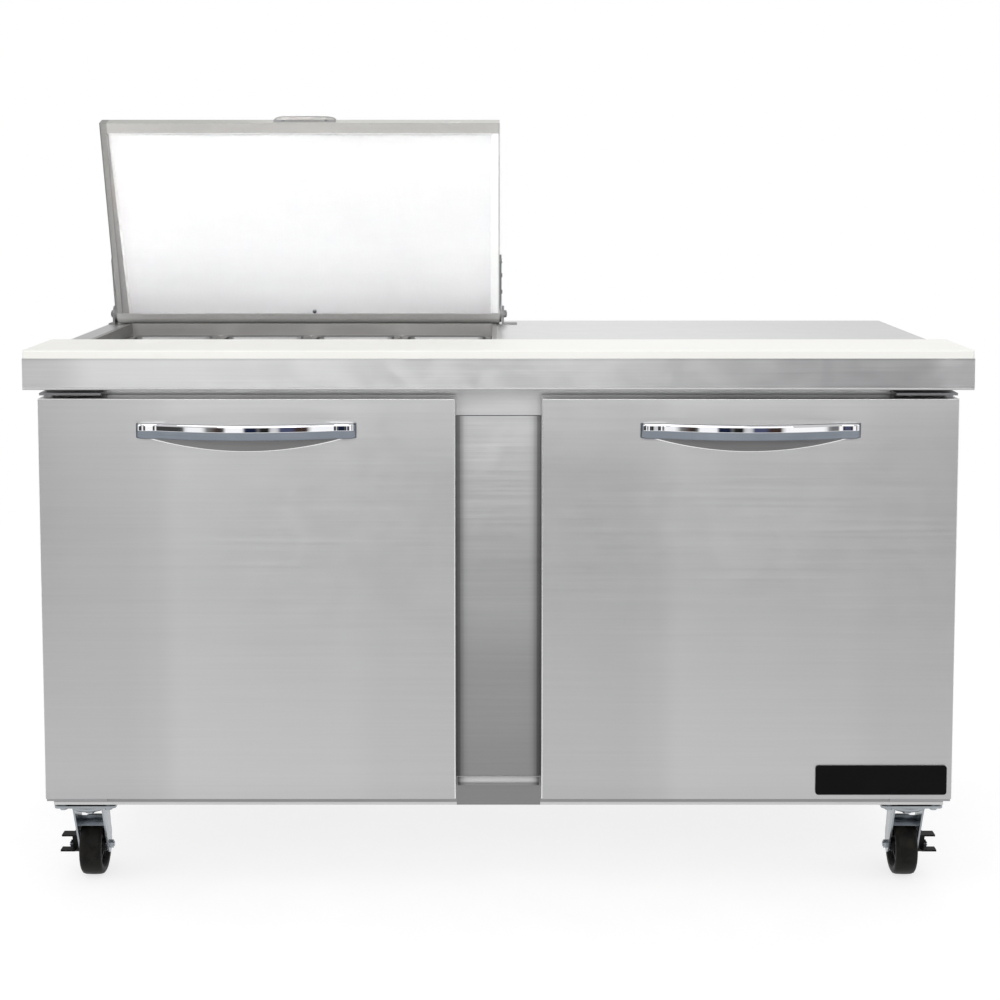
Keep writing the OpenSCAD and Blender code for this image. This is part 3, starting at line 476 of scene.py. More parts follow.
def revolve(bm, profile, centre, axis="z", seg=48, closed_profile=True):
    """profile: (radius, height) points turned round an axis through centre."""
    rings = []
    for r, h in profile:
        pts = []
        for i in range(seg):
            a = 2 * math.pi * i / seg
            c, s = r * math.cos(a), r * math.sin(a)
            p = {"z": (c, s, h), "x": (h, c, s), "y": (c, h, s)}[axis]
            pts.append(Vector(p) + Vector(centre))
        rings.append(ring(bm, pts))
    for a, b in zip(rings, rings[1:]):
        bridge(bm, a, b)
    if closed_profile:
        bridge(bm, rings[-1], rings[0])
    else:
        bm.faces.new(list(reversed(rings[0])))
        bm.faces.new(rings[-1])


def tube(bm, pts, r, seg=8, closed=False):
    """A round wire along points, with round-ish closed ends."""
    pts = [Vector(p) for p in pts]
    n = len(pts)
    rings = []
    up = None
    for i, p in enumerate(pts):
        if closed:
            d = (pts[(i + 1) % n] - pts[i - 1]).normalized()
        else:
            d = (pts[min(i + 1, n - 1)] - pts[max(i - 1, 0)]).normalized()
        if up is None:
            up = Vector((0, 0, 1)) if abs(d.z) < 0.9 else Vector((1, 0, 0))
        side = d.cross(up).normalized()
        up = side.cross(d).normalized()
        rings.append(ring(bm, [p + r * (math.cos(2 * math.pi * k / seg) * side + math.sin(2 * math.pi * k / seg) * up) for k in range(seg)]))
    for a, b in zip(rings, rings[1:]):
        bridge(bm, a, b)
    if closed:
        bridge(bm, rings[-1], rings[0])
    else:
        bm.faces.new(list(reversed(rings[0])))
        bm.faces.new(rings[-1])


def box_bm(bm, lo, hi):
    x0, y0, z0 = lo
    x1, y1, z1 = hi
    a = ring(bm, [(x0, y0, z0), (x1, y0, z0), (x1, y1, z0), (x0, y1, z0)])
    b = ring(bm, [(x0, y0, z1), (x1, y0, z1), (x1, y1, z1), (x0, y1, z1)])
    bridge(bm, a, b)
    bm.faces.new(list(reversed(a)))
    bm.faces.new(b)


def bevelled(o, width, segments=2, angle=30.0):
    b = o.modifiers.new("bevel", "BEVEL")
    b.width = width
    b.segments = segments
    b.limit_method = "ANGLE"
    b.angle_limit = math.radians(angle)
    b.harden_normals = True
    return o


def screw(bm, centre, out, r=0.0045, h=0.0025, cross=True):
    """A pan-head screw with a cross recess. out is the unit direction its head looks."""
    out = Vector(out)
    side = out.orthogonal().normalized()
    up = out.cross(side)
    seg = 20
    prof = [(r, 0.0), (r * 0.97, h * 0.45), (r * 0.8, h * 0.82), (r * 0.5, h)]
    rings = []
    for rr, hh in prof:
        rings.append(ring(bm, [Vector(centre) + out * hh + rr * (math.cos(2 * math.pi * i / seg) * side + math.sin(2 * math.pi * i / seg) * up) for i in range(seg)]))
    for a, b in zip(rings, rings[1:]):
        bridge(bm, a, b)
    # recess: a shallow star cut into the crown
    inner = []
    for i in range(seg):
        k = i % 5
        rr = r * (0.42 if k == 0 else 0.16)
        inner.append(Vector(centre) + out * (h * 0.45) + rr * (math.cos(2 * math.pi * i / seg) * side + math.sin(2 * math.pi * i / seg) * up))
    lip = ring(bm, [Vector(centre) + out * h + r * (0.44 if i % 5 == 0 else 0.2) * (math.cos(2 * math.pi * i / seg) * side + math.sin(2 * math.pi * i / seg) * up) for i in range(seg)])
    bridge(bm, rings[-1], lip)
    low = ring(bm, inner)
    bridge(bm, lip, low)
    bm.faces.new(low)
    bm.faces.new(list(reversed(rings[0])))


# ------------------------------------------------------------------ key places from the frame
top_lo, top_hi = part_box("worktop")
board_lo, board_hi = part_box("cutting_board")
ld_lo, ld_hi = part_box("left_door_skin")
rd_lo, rd_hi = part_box("right_door_skin")
TOP = top_hi.z
DOOR_Y = ld_lo.y
well_x0, well_x1 = -0.716, -0.012
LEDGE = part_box("pan_front_1")[1].z - 0.0016

# ------------------------------------------------------------------ CAD nodes: finish and edges
for n, mat, w in (
    ("cabinet_casing", "steel", 0.0003), ("front_frame", "frame", 0.0004), ("mullion", "post", 0.0005),
    ("cabinet_insulation", "foam", 0), ("cabinet_liner", "satin", 0.0003), ("worktop", "top", 0.0004),
    ("pan_well", "well", 0.0004), ("pan_divider_bar", "well", 0.0004), ("shelf_pilasters", "satin", 0.0003),
    ("door_hinge_brackets", "bracket", 0.0004), ("lid_hinge_ears", "dark_zinc", 0.0004), ("lid_bumpers", "rubber", 0.0004),
    ("rear_grille", "galvanised", 0), ("compressor", "enamel", 0.0012), ("condenser_coil", "fins", 0.0003),
    ("condenser_fan_motor", "dark_zinc", 0.001), ("condenser_fan", "fins", 0.0005), ("evaporator_coil", "fins", 0.0002),
    ("evaporator_housing", "white", 0.0004), ("evaporator_fan", "black", 0.0005), ("refrigerant_lines", "copper", 0),
    ("thermostat_dial", "black", 0.0005), ("cord_gland", "black", 0.0005), ("caster_plates", "zinc", 0.0005),
    ("lid_shell", "lid", 0.0004), ("lid_core", "foam", 0), ("lid_handle", "lid", 0.0005), ("lid_straps", "dark_zinc", 0.0006),
    ("left_door_skin", "door", 0.0004), ("left_door_core", "foam", 0), ("left_door_liner", "white", 0.001), ("left_door_gasket", "gasket", 0.0015),
    ("right_door_skin", "door_r", 0.0004), ("right_door_core", "foam", 0), ("right_door_liner", "white", 0.001), ("right_door_gasket", "gasket", 0.0015),
    ("right_door_badge", "badge", 0.0007), ("cutting_board", "board", 0.0008),
    ("caster_fork_front_left", "zinc", 0.0005), ("caster_fork_front_right", "zinc", 0.0005),
    ("caster_fork_rear_left", "zinc", 0.0005), ("caster_fork_rear_right", "zinc", 0.0005),
    ("brake_lever_left", "black", 0.001), ("brake_lever_right", "black", 0.001),
):
    paint(n, mat)
    soften(n, w)
for p in N["rear_grille"].data.polygons:
    p.use_smooth = False

# ------------------------------------------------------------------ door skins with rounded folds
def door_skin(name, lo, hi, mat, body, node):
    """A folded sheet: flat front, four sides, and a 2 mm radius along every fold."""
    r = 0.0022
    bm = bmesh.new()
    loops = []
    steps = 6
    w, h = (hi.x - lo.x) / 2, (hi.z - lo.z) / 2
    mx, mz = (hi.x + lo.x) / 2, (hi.z + lo.z) / 2

    def loop(inset, y, rad):
        return [(mx + px, y, mz + pz) for px, pz in rounded_rect(w - inset, h - inset, max(rad, 0.0006), 5)]

    loops.append(loop(0.0010, hi.y, 0.0016))
    loops.append(loop(0.0, hi.y, 0.0026))
    loops.append(loop(0.0, lo.y + r, 0.0026))
    for k in range(1, steps + 1):
        a = math.pi / 2 * k / steps
        loops.append(loop(r * (1 - math.cos(a)), lo.y + r - r * math.sin(a), 0.0026 - 0.0018 * k / steps))
    rings = [ring(bm, l) for l in loops]
    for a, b in zip(rings, rings[1:]):
        bridge(bm, a, b)
    bm.faces.new(rings[-1])
    inner = [ring(bm, loop(0.0010, lo.y + 0.0010, 0.0016))]
    bridge(bm, rings[0], inner[0])
    bm.faces.new(list(reversed(inner[0])))
    o = finish_mesh(name, bm, mat, body, angle=40)
    # painted highlight: the top fold and the side folds take the brighter steel copy
    o.data.materials.append(M["edge"])
    for p in o.data.polygons:
        if (p.normal.z > 0.30 and p.center.z > mz) or (abs(p.normal.x) > 0.35 and p.normal.y < -0.1):
            p.material_index = 1
    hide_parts(node)
    return o


door_skin("left_door_panel", ld_lo, ld_hi, "door", "left_door", "left_door_skin")
door_skin("right_door_panel", rd_lo, rd_hi, "door_r", "right_door", "right_door_skin")

# ------------------------------------------------------------------ door handles
HX = (ld_lo.x + ld_hi.x) / 2
HZ = (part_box("left_door_handle")[0].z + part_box("left_door_handle")[1].z) / 2
HL = 0.179
BOW = 0.037
RR = (HL * HL + BOW * BOW) / (2 * BOW)


def bow_at(x):
    return math.sqrt(max(RR * RR - x * x, 0)) - (RR - BOW)


def bow_handle(name, cx, body, node):
    """A bowed chrome bar: round shoulder on top, flat face, rolled lower edge, and a solid foot at each end."""
    bm = bmesh.new()
    sec = [(0.0072, 0.0130), (0.0048, 0.0135), (0.0030, 0.0132), (0.0016, 0.0123), (0.0006, 0.0108), (0.0001, 0.0092), (0.0, 0.0086), (0.0, 0.0080), (0.0, 0.0016), (0.0, 0.0008),
           (0.0005, -0.0004), (0.0012, -0.0022), (0.0020, -0.0060), (0.0028, -0.0098), (0.0040, -0.0122), (0.0056, -0.0132), (0.0076, -0.0131)]
    loops = []
    flat = HL - 0.022
    xs = [-HL + 0.022 * (1 - math.cos(math.pi / 2 * k / 12)) for k in range(12)]
    xs += [-flat + 2 * flat * k / 64 for k in range(65)]
    xs += [HL - 0.022 * (1 - math.cos(math.pi / 2 * k / 12)) for k in range(11, -1, -1)]
    for x in xs:
        d = max(bow_at(x), 0.0)
        end = max(0.0, (abs(x) - flat) / 0.022)
        out = max(d, 0.0118 * max(0.0, 1 - end ** 3) ** 0.5 + 0.0012)
        t = min(1.0, max(0.0, (d - 0.0120) / 0.0080))
        t = t * t * (3 - 2 * t)
        back = 0.0002 + t * (d - 0.0092)
        squeeze = 1.0 - 0.12 * end ** 4
        depth = max(out - back, 0.0009)
        k = min(1.0, depth / 0.0092)
        pts = [(cx + x, DOOR_Y - 0.0002 - out + dd * k, HZ + zz * squeeze) for dd, zz in sec]
        pts.append((cx + x, DOOR_Y - 0.0002 - back, HZ - 0.0112 * squeeze))
        pts.append((cx + x, DOOR_Y - 0.0002 - back, HZ + 0.0112 * squeeze))
        loops.append(pts)
    loft(bm, loops)
    o = finish_mesh(name, bm, "chrome", body, angle=60)
    # painted shade: the bar's lower band and its ends take the darker chrome copy
    o.data.materials.append(M["under"])
    for p in o.data.polygons:
        c = p.center
        if (c.z - HZ < 0.0004 and p.normal.y < -0.2) or abs(c.x - cx) > HL - 0.0052:
            p.material_index = 1
    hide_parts(node)
    # dark crescent plate under the bar, against the door: a painted shadow of the bowed handle, with a painted
    # highlight along its lower edge
    bm = bmesh.new()
    w = 0.156
    top, bot = [], []
    m = 48
    for i in range(m + 1):
        x = -w + 2 * w * i / m
        top.append((x, -0.0105))
        bot.append((x, -0.0125 - 0.0215 * (1 - (x / w) ** 2)))
    outline = top + bot[::-1]
    front = ring(bm, [(cx + x, DOOR_Y - 0.0022, HZ + z) for x, z in outline])
    rim = ring(bm, [(cx + x * 1.006, DOOR_Y - 0.0010, HZ + z - 0.0014) for x, z in outline])
    back = ring(bm, [(cx + x * 1.006, DOOR_Y - 0.0001, HZ + z - 0.0014) for x, z in outline])
    bridge(bm, front, rim)
    bridge(bm, rim, back)
    bm.faces.new(front)
    bm.faces.new(list(reversed(back)))
    o = finish_mesh(name + "_painted_shadow_plate", bm, "painted_shadow_crescent", body, angle=30)
    o.data.materials.append(M["edge"])
    for p in o.data.polygons:
        if p.normal.z < -0.3:
            p.material_index = 1


bow_handle("left_bow_handle", -HX * -1 if HX < 0 else HX, "left_door", "left_door_handle")
bow_handle("right_bow_handle", (rd_lo.x + rd_hi.x) / 2, "right_door", "right_door_handle")


# ------------------------------------------------------------------ pans
def pan_mesh():
    """A deep-drawn pan: rolled rim, shoulder step for stacking, tapered walls, wide bottom radius."""
    bm = bmesh.new()
    L, W = 0.08725, 0.0805
    inner = [(L - 0.0112, W - 0.0112, 0.014, 0.0016), (L - 0.0122, W - 0.0122, 0.014, 0.0010), (L - 0.0130, W - 0.0130, 0.0145, -0.0008),
             (L - 0.0132, W - 0.0132, 0.0145, -0.0120), (L - 0.0146, W - 0.0146, 0.015, -0.0140), (L - 0.0150, W - 0.0150, 0.015, -0.0170)]
    depth = 0.0974
    for k in range(1, 5):
        t = k / 4
        inner.append((L - 0.0150 - 0.0030 * t, W - 0.0150 - 0.0030 * t, 0.015, -0.0170 - (depth - 0.0170 - 0.012) * t))
    for k in range(1, 6):
        a = math.pi / 2 * k / 5
        inner.append((L - 0.0180 - 0.012 * (1 - math.cos(a)), W - 0.0180 - 0.012 * (1 - math.cos(a)), 0.015 - 0.006 * (k / 5), -(depth - 0.012) - 0.012 * math.sin(a)))
    inner.append((L - 0.045, W - 0.042, 0.009, -depth - 0.0002))
    inner.append((0.02, 0.018, 0.006, -depth + 0.0002))
    top = [(L - 0.0010, W - 0.0010, 0.0115, 0.0022), (L - 0.0022, W - 0.0022, 0.0108, 0.0025), (L - 0.0036, W - 0.0036, 0.0100, 0.0020), (L - 0.0060, W - 0.0060, 0.0095, 0.0016)]
    edge = [(L - 0.0006, W - 0.0006, 0.0118, 0.0003), (L, W, 0.012, 0.0009), (L - 0.0002, W - 0.0002, 0.0119, 0.0016)]
    under = [(L - 0.0105, W - 0.0105, 0.014, 0.0003)]
    outer = []
    for hx, hy, r, z in inner[2:]:
        outer.append((hx + 0.0011, hy + 0.0011, r + 0.0011, min(z, -0.0008)))
    outer = [(hx, hy, r, z - (0.0011 if i > 12 else 0.0)) for i, (hx, hy, r, z) in enumerate(outer)]
    path = list(reversed(outer)) + under + edge + top + inner
    loft(bm, [[(x, y, z) for x, y in rounded_rect(hx, hy, r, 7)] for hx, hy, r, z in path])
    bmesh.ops.recalc_face_normals(bm, faces=bm.faces)
    me = bpy.data.meshes.new("food_pan")
    bm.to_mesh(me)
    bm.free()
    me.materials.append(M["pan"])
    for p in me.polygons:
        p.use_smooth = True
    me.set_sharp_from_angle(angle=math.radians(60))
    return me


pan_me = pan_mesh()
for row in ("front", "rear"):
    for i in range(1, 5):
        n = f"pan_{row}_{i}"
        lo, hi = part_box(n)
        o = bpy.data.objects.new(f"food_pan_{row}_{i}", pan_me.copy())
        scene.collection.objects.link(o)
        o.data.transform(Matrix.Translation(((lo.x + hi.x) / 2, (lo.y + hi.y) / 2, hi.z - 0.0016)))
        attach(o, n)
        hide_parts(n)

# ------------------------------------------------------------------ lid
PY, PZ = 0.299, TOP + 0.020
LIDM = Matrix.Translation((0, PY, PZ)) @ Matrix.Rotation(math.radians(-70), 4, "X")
LX0, LX1, RIM, PR = -0.744, 0.002, 0.013, 0.018
ct, st = math.cos(math.radians(70)), math.sin(math.radians(70))
t2 = (PR * st, -PR * ct)
lid_c = (t2[0] + 0.068 * ct, t2[1] + 0.068 * st)
slope = (lid_c[1] - (-PR + 0.028)) / (lid_c[0] + 0.395)


def top_at(y):
    return -PR + 0.028 + slope * (y + 0.395)


core_v = 0.016 / math.cos(math.atan(slope))
rear_in = (0.008 * ct + 0.008 * st, 0.008 * st - 0.008 * ct)
rear_k = (top_at(rear_in[0]) - core_v - rear_in[1]) / (st - slope * ct)
in_c = (rear_in[0] + rear_k * ct, rear_in[1] + rear_k * st)
P = [(-0.377, -PR), (-0.376, top_at(-0.376) - core_v), in_c, rear_in, (-0.0085, -PR + 0.0009)]
XI0, XI1 = LX0 + RIM, LX1 - RIM

# inner tray: back plate and four walls, one millimetre thick, with soft corners
bm = bmesh.new()
a = ring(bm, [(XI0, y, z) for y, z in P])
b = ring(bm, [(XI1, y, z) for y, z in P])
for i in range(4):
    bm.faces.new((a[i], a[i + 1], b[i + 1], b[i]))
bm.faces.new(a)
bm.faces.new(list(reversed(b)))
bmesh.ops.recalc_face_normals(bm, faces=bm.faces)
for f in bm.faces:
    f.normal_flip()
bm.normal_update()
edges = [e for e in bm.edges if len(e.link_faces) == 2]
bmesh.ops.bevel(bm, geom=edges, offset=0.0035, segments=4, profile=0.5, affect="EDGES")
me_obj = finish_mesh("lid_inner_tray", bm, "liner", "lid", angle=60, recalc=False)
me_obj.data.transform(LIDM)
me_obj.data.materials.append(M["tray_wall"])
for p in me_obj.data.polygons:
    if abs(p.normal.x) > 0.62:
        p.material_index = 1
so = me_obj.modifiers.new("sheet", "SOLIDIFY")
so.thickness = 0.0008
so.offset = -1.0
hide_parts("lid_liner")

# steel rim folded round the mouth of the tray
bm = bmesh.new()
ox0, ox1, oy0, oy1 = LX0 + 0.0012, LX1 - 0.0012, -0.3967, 0.0
ix0, ix1, iy0, iy1 = XI0 - 0.0006, XI1 + 0.0006, -0.3776, -0.0080


def rect(x0, x1, y0, y1, z):
    return [(x0, y0, z), (x1, y0, z), (x1, y1, z), (x0, y1, z)]


r1 = ring(bm, rect(ox0, ox1, oy0, oy1, -PR + 0.0006))
r2 = ring(bm, rect(ox0 + 0.0006, ox1 - 0.0006, oy0 + 0.0006, oy1 - 0.0006, -PR))
r3 = ring(bm, rect(ix0 - 0.0008, ix1 + 0.0008, iy0 - 0.0008, iy1 + 0.0008, -PR))
r4 = ring(bm, rect(ix0, ix1, iy0, iy1, -PR + 0.0008))
r5 = ring(bm, rect(ix0 - 0.0004, ix1 + 0.0004, iy0 - 0.0004, iy1 + 0.0004, -PR + 0.0013))
r6 = ring(bm, rect(ox0, ox1, oy0, oy1, -PR + 0.0013))
seq = [r1, r2, r3, r4, r5, r6]
for q, w in zip(seq, seq[1:] + seq[:1]):
    bridge(bm, q, w)
rim = finish_mesh("lid_rim", bm, "lid", "lid", angle=30)
rim.data.transform(LIDM)

# white seam bead where the tray's walls meet its plate
bm = bmesh.new()
f_y, f_z = P[1]
q = 0.0016
corners = [(XI0 + q, in_c[0] - 0.004, top_at(in_c[0] - 0.004) - core_v - q), (XI0 + q, f_y + q, top_at(f_y + q) - core_v - q),
           (XI1 - q, f_y + q, top_at(f_y + q) - core_v - q), (XI1 - q, in_c[0] - 0.004, top_at(in_c[0] - 0.004) - core_v - q)]
pts = []
for i in range(3):
    p0, p1 = Vector(corners[i]), Vector(corners[i + 1])
    steps = 14
    for k in range(steps + (1 if i == 2 else 0)):
        pts.append(p0.lerp(p1, k / steps))
# the points are passed on unchanged
sm = [pts[0]]
for i in range(1, len(pts) - 1):
    sm.append(pts[i])
sm.append(pts[-1])
tube(bm, sm, 0.0030, 10)
bead = finish_mesh("lid_seam_bead", bm, "bead", "lid", angle=70)
bead.data.transform(LIDM)

# heel strip: a thin sleeve round the lid's turned heel, and a pale seal along the hinge-side rim
bm = bmesh.new()
arc = [(-0.0086, -PR - 0.0003)]
for k in range(13):
    a_ = math.radians(70 * k / 12)
    arc.append((math.sin(a_) * (PR + 0.0003), -math.cos(a_) * (PR + 0.0003)))
inner_arc = [(-0.0086, -PR + 0.0001)]
for k in range(13):
    a_ = math.radians(70 * k / 12)
    inner_arc.append((math.sin(a_) * (PR - 0.0001), -math.cos(a_) * (PR - 0.0001)))
prof = arc + inner_arc[::-1]
loft(bm, [[(x, y, z) for y, z in prof] for x in (LX0 + 0.0005, LX1 - 0.0005)])
heel = finish_mesh("lid_heel_strip", bm, "heel", "lid", angle=40)
heel.data.transform(LIDM)
bm = bmesh.new()
xa, xb = XI1 - 0.0004, XI1 + 0.0112
sl = [(xa, -PR + 0.0001), (xa + 0.0003, -PR - 0.0003), (xb - 0.0003, -PR - 0.0003), (xb, -PR + 0.0001)]
loft(bm, [[(x, y, z) for x, z in sl] for y in (-0.3775, -0.0095)])
seal = finish_mesh("lid_side_seal", bm, "bead", "lid", angle=40)
seal.data.transform(LIDM)

# lid pull: a flat plate with a rolled lip that tapers away at both ends
bm = bmesh.new()
cxh = (LX0 + LX1) / 2 + 0.009
loops = []
for k in range(41):
    u = -1 + k / 20
    x = cxh + 0.058 * u
    e = max(0.0, 1 - abs(u) ** 5) ** 0.5
    lip = 0.0008 + 0.0064 * e
    y_f = -0.398
    prof = [(y_f + 0.0003, -PR + 0.0042), (y_f - 0.0014, -PR + 0.0046), (y_f - 0.0012, -PR + 0.0150), (y_f - lip * 0.80, -PR + 0.0166), (y_f - lip, -PR + 0.0180), (y_f - lip, -PR + 0.0194),
            (y_f - lip * 0.80, -PR + 0.0207), (y_f - 0.0006, -PR + 0.0213), (y_f + 0.0022, -PR + 0.0213)]
    loops.append([(x, y, z) for y, z in prof])
loft(bm, loops)
pull = finish_mesh("lid_pull", bm, "pull", "lid", angle=50)
pull.data.transform(LIDM)
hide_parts("lid_handle")

# stud in the middle of the foot rim
bm = bmesh.new()
screw(bm, (-0.358, -0.0130, -PR + 0.0006), (0, 0, -1), 0.0042, 0.0036)
for dx in (-0.040, 0.040):
    screw(bm, (cxh + dx, -0.3992, -PR + 0.0098), (0, -1, 0), 0.0034, 0.0012)
st_o = finish_mesh("lid_screws", bm, "zinc", "lid", angle=40)
st_o.data.transform(LIDM)

# ------------------------------------------------------------------ wire shelves
bm = bmesh.new()
y0, y1, z0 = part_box("wire_shelves")[0].y + 0.002, 0.118, 0.500
for x0, x1 in ((-0.710, -0.014), (0.014, 0.710)):
    r = 0.012
    loop = []
    for k, (sx, sy) in enumerate(((1, 1), (-1, 1), (-1, -1), (1, -1))):
        for i in range(7):
            a_ = math.pi / 2 * (k + i / 6)
            loop.append(((x0 + x1) / 2 + sx * ((x1 - x0) / 2 - r - 0.003) + r * math.cos(a_), (y0 + y1) / 2 + sy * ((y1 - y0) / 2 - r) + r * math.sin(a_), z0))
    tube(bm, loop, 0.0030, 10, closed=True)
    tube(bm, [(x0 + 0.006, (y0 + y1) / 2, z0), (x1 - 0.006, (y0 + y1) / 2, z0)], 0.0030, 10)
    tube(bm, [(x0 + 0.006, (y0 + y1) / 2 + 0.09, z0), (x1 - 0.006, (y0 + y1) / 2 + 0.09, z0)], 0.0024, 8)
    tube(bm, [(x0 + 0.006, (y0 + y1) / 2 - 0.09, z0), (x1 - 0.006, (y0 + y1) / 2 - 0.09, z0)], 0.0024, 8)
    n = 27
    for i in range(1, n + 1):
        x = x0 + i * (x1 - x0) / (n + 1)
        tube(bm, [(x, y0 + 0.001, z0 + 0.0005), (x, y0 + 0.003, z0 + 0.0040), (x, y0 + 0.012, z0 + 0.0047), (x, y1 - 0.012, z0 + 0.0047), (x, y1 - 0.003, z0 + 0.0040), (x, y1 - 0.001, z0 + 0.0005)], 0.0015, 8)
o = finish_mesh("wire_shelf_pair", bm, "epoxy", "cabinet", angle=60)
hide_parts("wire_shelves")

# ------------------------------------------------------------------ rear louvres
gr_lo, gr_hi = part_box("rear_grille")
bm = bmesh.new()
for c in (-0.540, -0.180, 0.180, 0.540):
    for r_ in range(14):
        zb_, zt_ = 0.215 + r_ * 0.028, 0.224 + r_ * 0.028
        nu, nv = 14, 5
        outer_rows, inner_rows = [], []
        for j in range(nv + 1):
            v = j / nv
            row_o, row_i = [], []
            for i in range(nu + 1):
                u = i / nu
                e = min(1.0, math.sin(math.pi * u) * 3.2)
                e = e ** 0.6
                x = c - 0.1395 + 0.279 * u
                z = zt_ + 0.0030 - (zt_ + 0.0030 - zb_ - 0.0005) * v
                h = 0.0052 * e * math.sin(math.pi / 2 * min(1.0, v * 1.15))
                row_o.append((x, gr_hi.y + 0.0001 + h, z))
                row_i.append((x, gr_hi.y + 0.0001 + max(h - 0.0009, -0.0004), z - 0.0004))
            outer_rows.append(ring(bm, row_o))
            inner_rows.append(ring(bm, row_i))
        for ra, rb in zip(outer_rows, outer_rows[1:]):
            bridge(bm, ra, rb, closed=False)
        for ra, rb in zip(inner_rows, inner_rows[1:]):
            bridge(bm, ra, rb, closed=False)
        border_o = outer_rows[0] + [q_[-1] for q_ in outer_rows[1:]] + outer_rows[-1][-2::-1] + [q_[0] for q_ in outer_rows[-2:0:-1]]
        border_i = inner_rows[0] + [q_[-1] for q_ in inner_rows[1:]] + inner_rows[-1][-2::-1] + [q_[0] for q_ in inner_rows[-2:0:-1]]
        bridge(bm, border_o, border_i)
finish_mesh("rear_louvres", bm, "galvanised", "cabinet", angle=50)
bm = bmesh.new()
for s in (-1, 1):
    for z in (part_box("rear_grille")[0].z + 0.011, 0.690):
        screw(bm, (s * 0.733, gr_hi.y, z), (0, 1, 0), 0.0050, 0.0028)
for x in (-0.36, 0.0, 0.36):
    for z in (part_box("rear_grille")[0].z + 0.012, 0.690):
        screw(bm, (x, gr_hi.y, z), (0, 1, 0), 0.0045, 0.0025)
finish_mesh("rear_grille_screws", bm, "zinc", "cabinet", angle=40)

# ------------------------------------------------------------------ evaporator fan guard
bm = bmesh.new()
cx_, cz_, gy = 0.390, 0.801, 0.1665
for rr in (0.012, 0.022, 0.032, 0.042, 0.052):
    tube(bm, [(cx_ + rr * math.cos(2 * math.pi * i / 40), gy, cz_ + rr * math.sin(2 * math.pi * i / 40)) for i in range(40)], 0.0010, 6, closed=True)
for k in range(4):
    a_ = math.pi / 4 + k * math.pi / 2
    tube(bm, [(cx_ + 0.010 * math.cos(a_), gy - 0.0012, cz_ + 0.010 * math.sin(a_)), (cx_ + 0.056 * math.cos(a_), gy - 0.0012, cz_ + 0.056 * math.sin(a_))], 0.0013, 6)
finish_mesh("evaporator_fan_guard", bm, "epoxy", "cabinet", angle=60)

# ------------------------------------------------------------------ casters
for tag, body in (("front_left", "caster_wheel_front_left"), ("front_right", "caster_wheel_front_right"), ("rear_left", "caster_wheel_rear_left"), ("rear_right", "caster_wheel_rear_right")):
    lo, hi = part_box("caster_wheel_" + tag)
    c = ((lo.x + hi.x) / 2, (lo.y + hi.y) / 2, (lo.z + hi.z) / 2)
    R = (hi.z - lo.z) / 2
    bm = bmesh.new()
    prof = [(0.0385, -0.0176), (0.0420, -0.0188), (0.0462, -0.0186), (0.0490, -0.0166), (0.0503, -0.0128), (R - 0.0001, -0.0060), (R, 0.0),
            (R - 0.0001, 0.0060), (0.0503, 0.0128), (0.0490, 0.0166), (0.0462, 0.0186), (0.0420, 0.0188), (0.0385, 0.0176), (0.0372, 0.0120), (0.0372, -0.0120)]
    revolve(bm, prof, c, "x", 96)
    t = finish_mesh("tyre_" + tag, bm, "tread", body, angle=50)
    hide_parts("caster_wheel_" + tag)
    bm = bmesh.new()
    prof = [(0.0046, -0.0196), (0.0112, -0.0196), (0.0124, -0.0180), (0.0132, -0.0120), (0.0150, -0.0092), (0.0300, -0.0080), (0.0340, -0.0100), (0.0358, -0.0150), (0.0380, -0.0170),
            (0.0380, 0.0170), (0.0358, 0.0150), (0.0340, 0.0100), (0.0300, 0.0080), (0.0150, 0.0092), (0.0132, 0.0120), (0.0124, 0.0180), (0.0112, 0.0196), (0.0046, 0.0196)]
    revolve(bm, prof, c, "x", 72)
    # ribs between hub and rim on both faces
    for s in (-1, 1):
        for k in range(6):
            a_ = k * math.pi / 3
            d = Vector((0, math.cos(a_), math.sin(a_)))
            e = Vector((0, -math.sin(a_), math.cos(a_)))
            base = []
            for rr, hw_, h0 in ((0.0130, 0.0026, 0.0150), (0.0345, 0.0020, 0.0118)):
                base.append((rr, hw_, h0))
            lowr = ring(bm, [Vector(c) + d * base[0][0] + e * base[0][1] + Vector((s * 0.0070, 0, 0)), Vector(c) + d * base[1][0] + e * base[1][1] + Vector((s * 0.0070, 0, 0)),
                             Vector(c) + d * base[1][0] - e * base[1][1] + Vector((s * 0.0070, 0, 0)), Vector(c) + d * base[0][0] - e * base[0][1] + Vector((s * 0.0070, 0, 0))])
            upr = ring(bm, [Vector(c) + d * base[0][0] + e * base[0][1] * 0.8 + Vector((s * base[0][2], 0, 0)), Vector(c) + d * base[1][0] + e * base[1][1] * 0.8 + Vector((s * base[1][2], 0, 0)),
                            Vector(c) + d * base[1][0] - e * base[1][1] * 0.8 + Vector((s * base[1][2], 0, 0)), Vector(c) + d * base[0][0] - e * base[0][1] * 0.8 + Vector((s * base[0][2], 0, 0))])
            bridge(bm, lowr, upr)
            bm.faces.new(upr)
            bm.faces.new(list(reversed(lowr)))
    finish_mesh("wheel_core_" + tag, bm, "black", body, angle=35)
    # thread guard washers on the hub
    bm = bmesh.new()
    for s in (-1, 1):
        revolve(bm, [(0.0050, s * 0.0197), (0.0108, s * 0.0197), (0.0108, s * 0.0206), (0.0095, s * 0.0212), (0.0050, s * 0.0212)], c, "x", 40)
    finish_mesh("hub_washers_" + tag, bm, "zinc", body, angle=35)

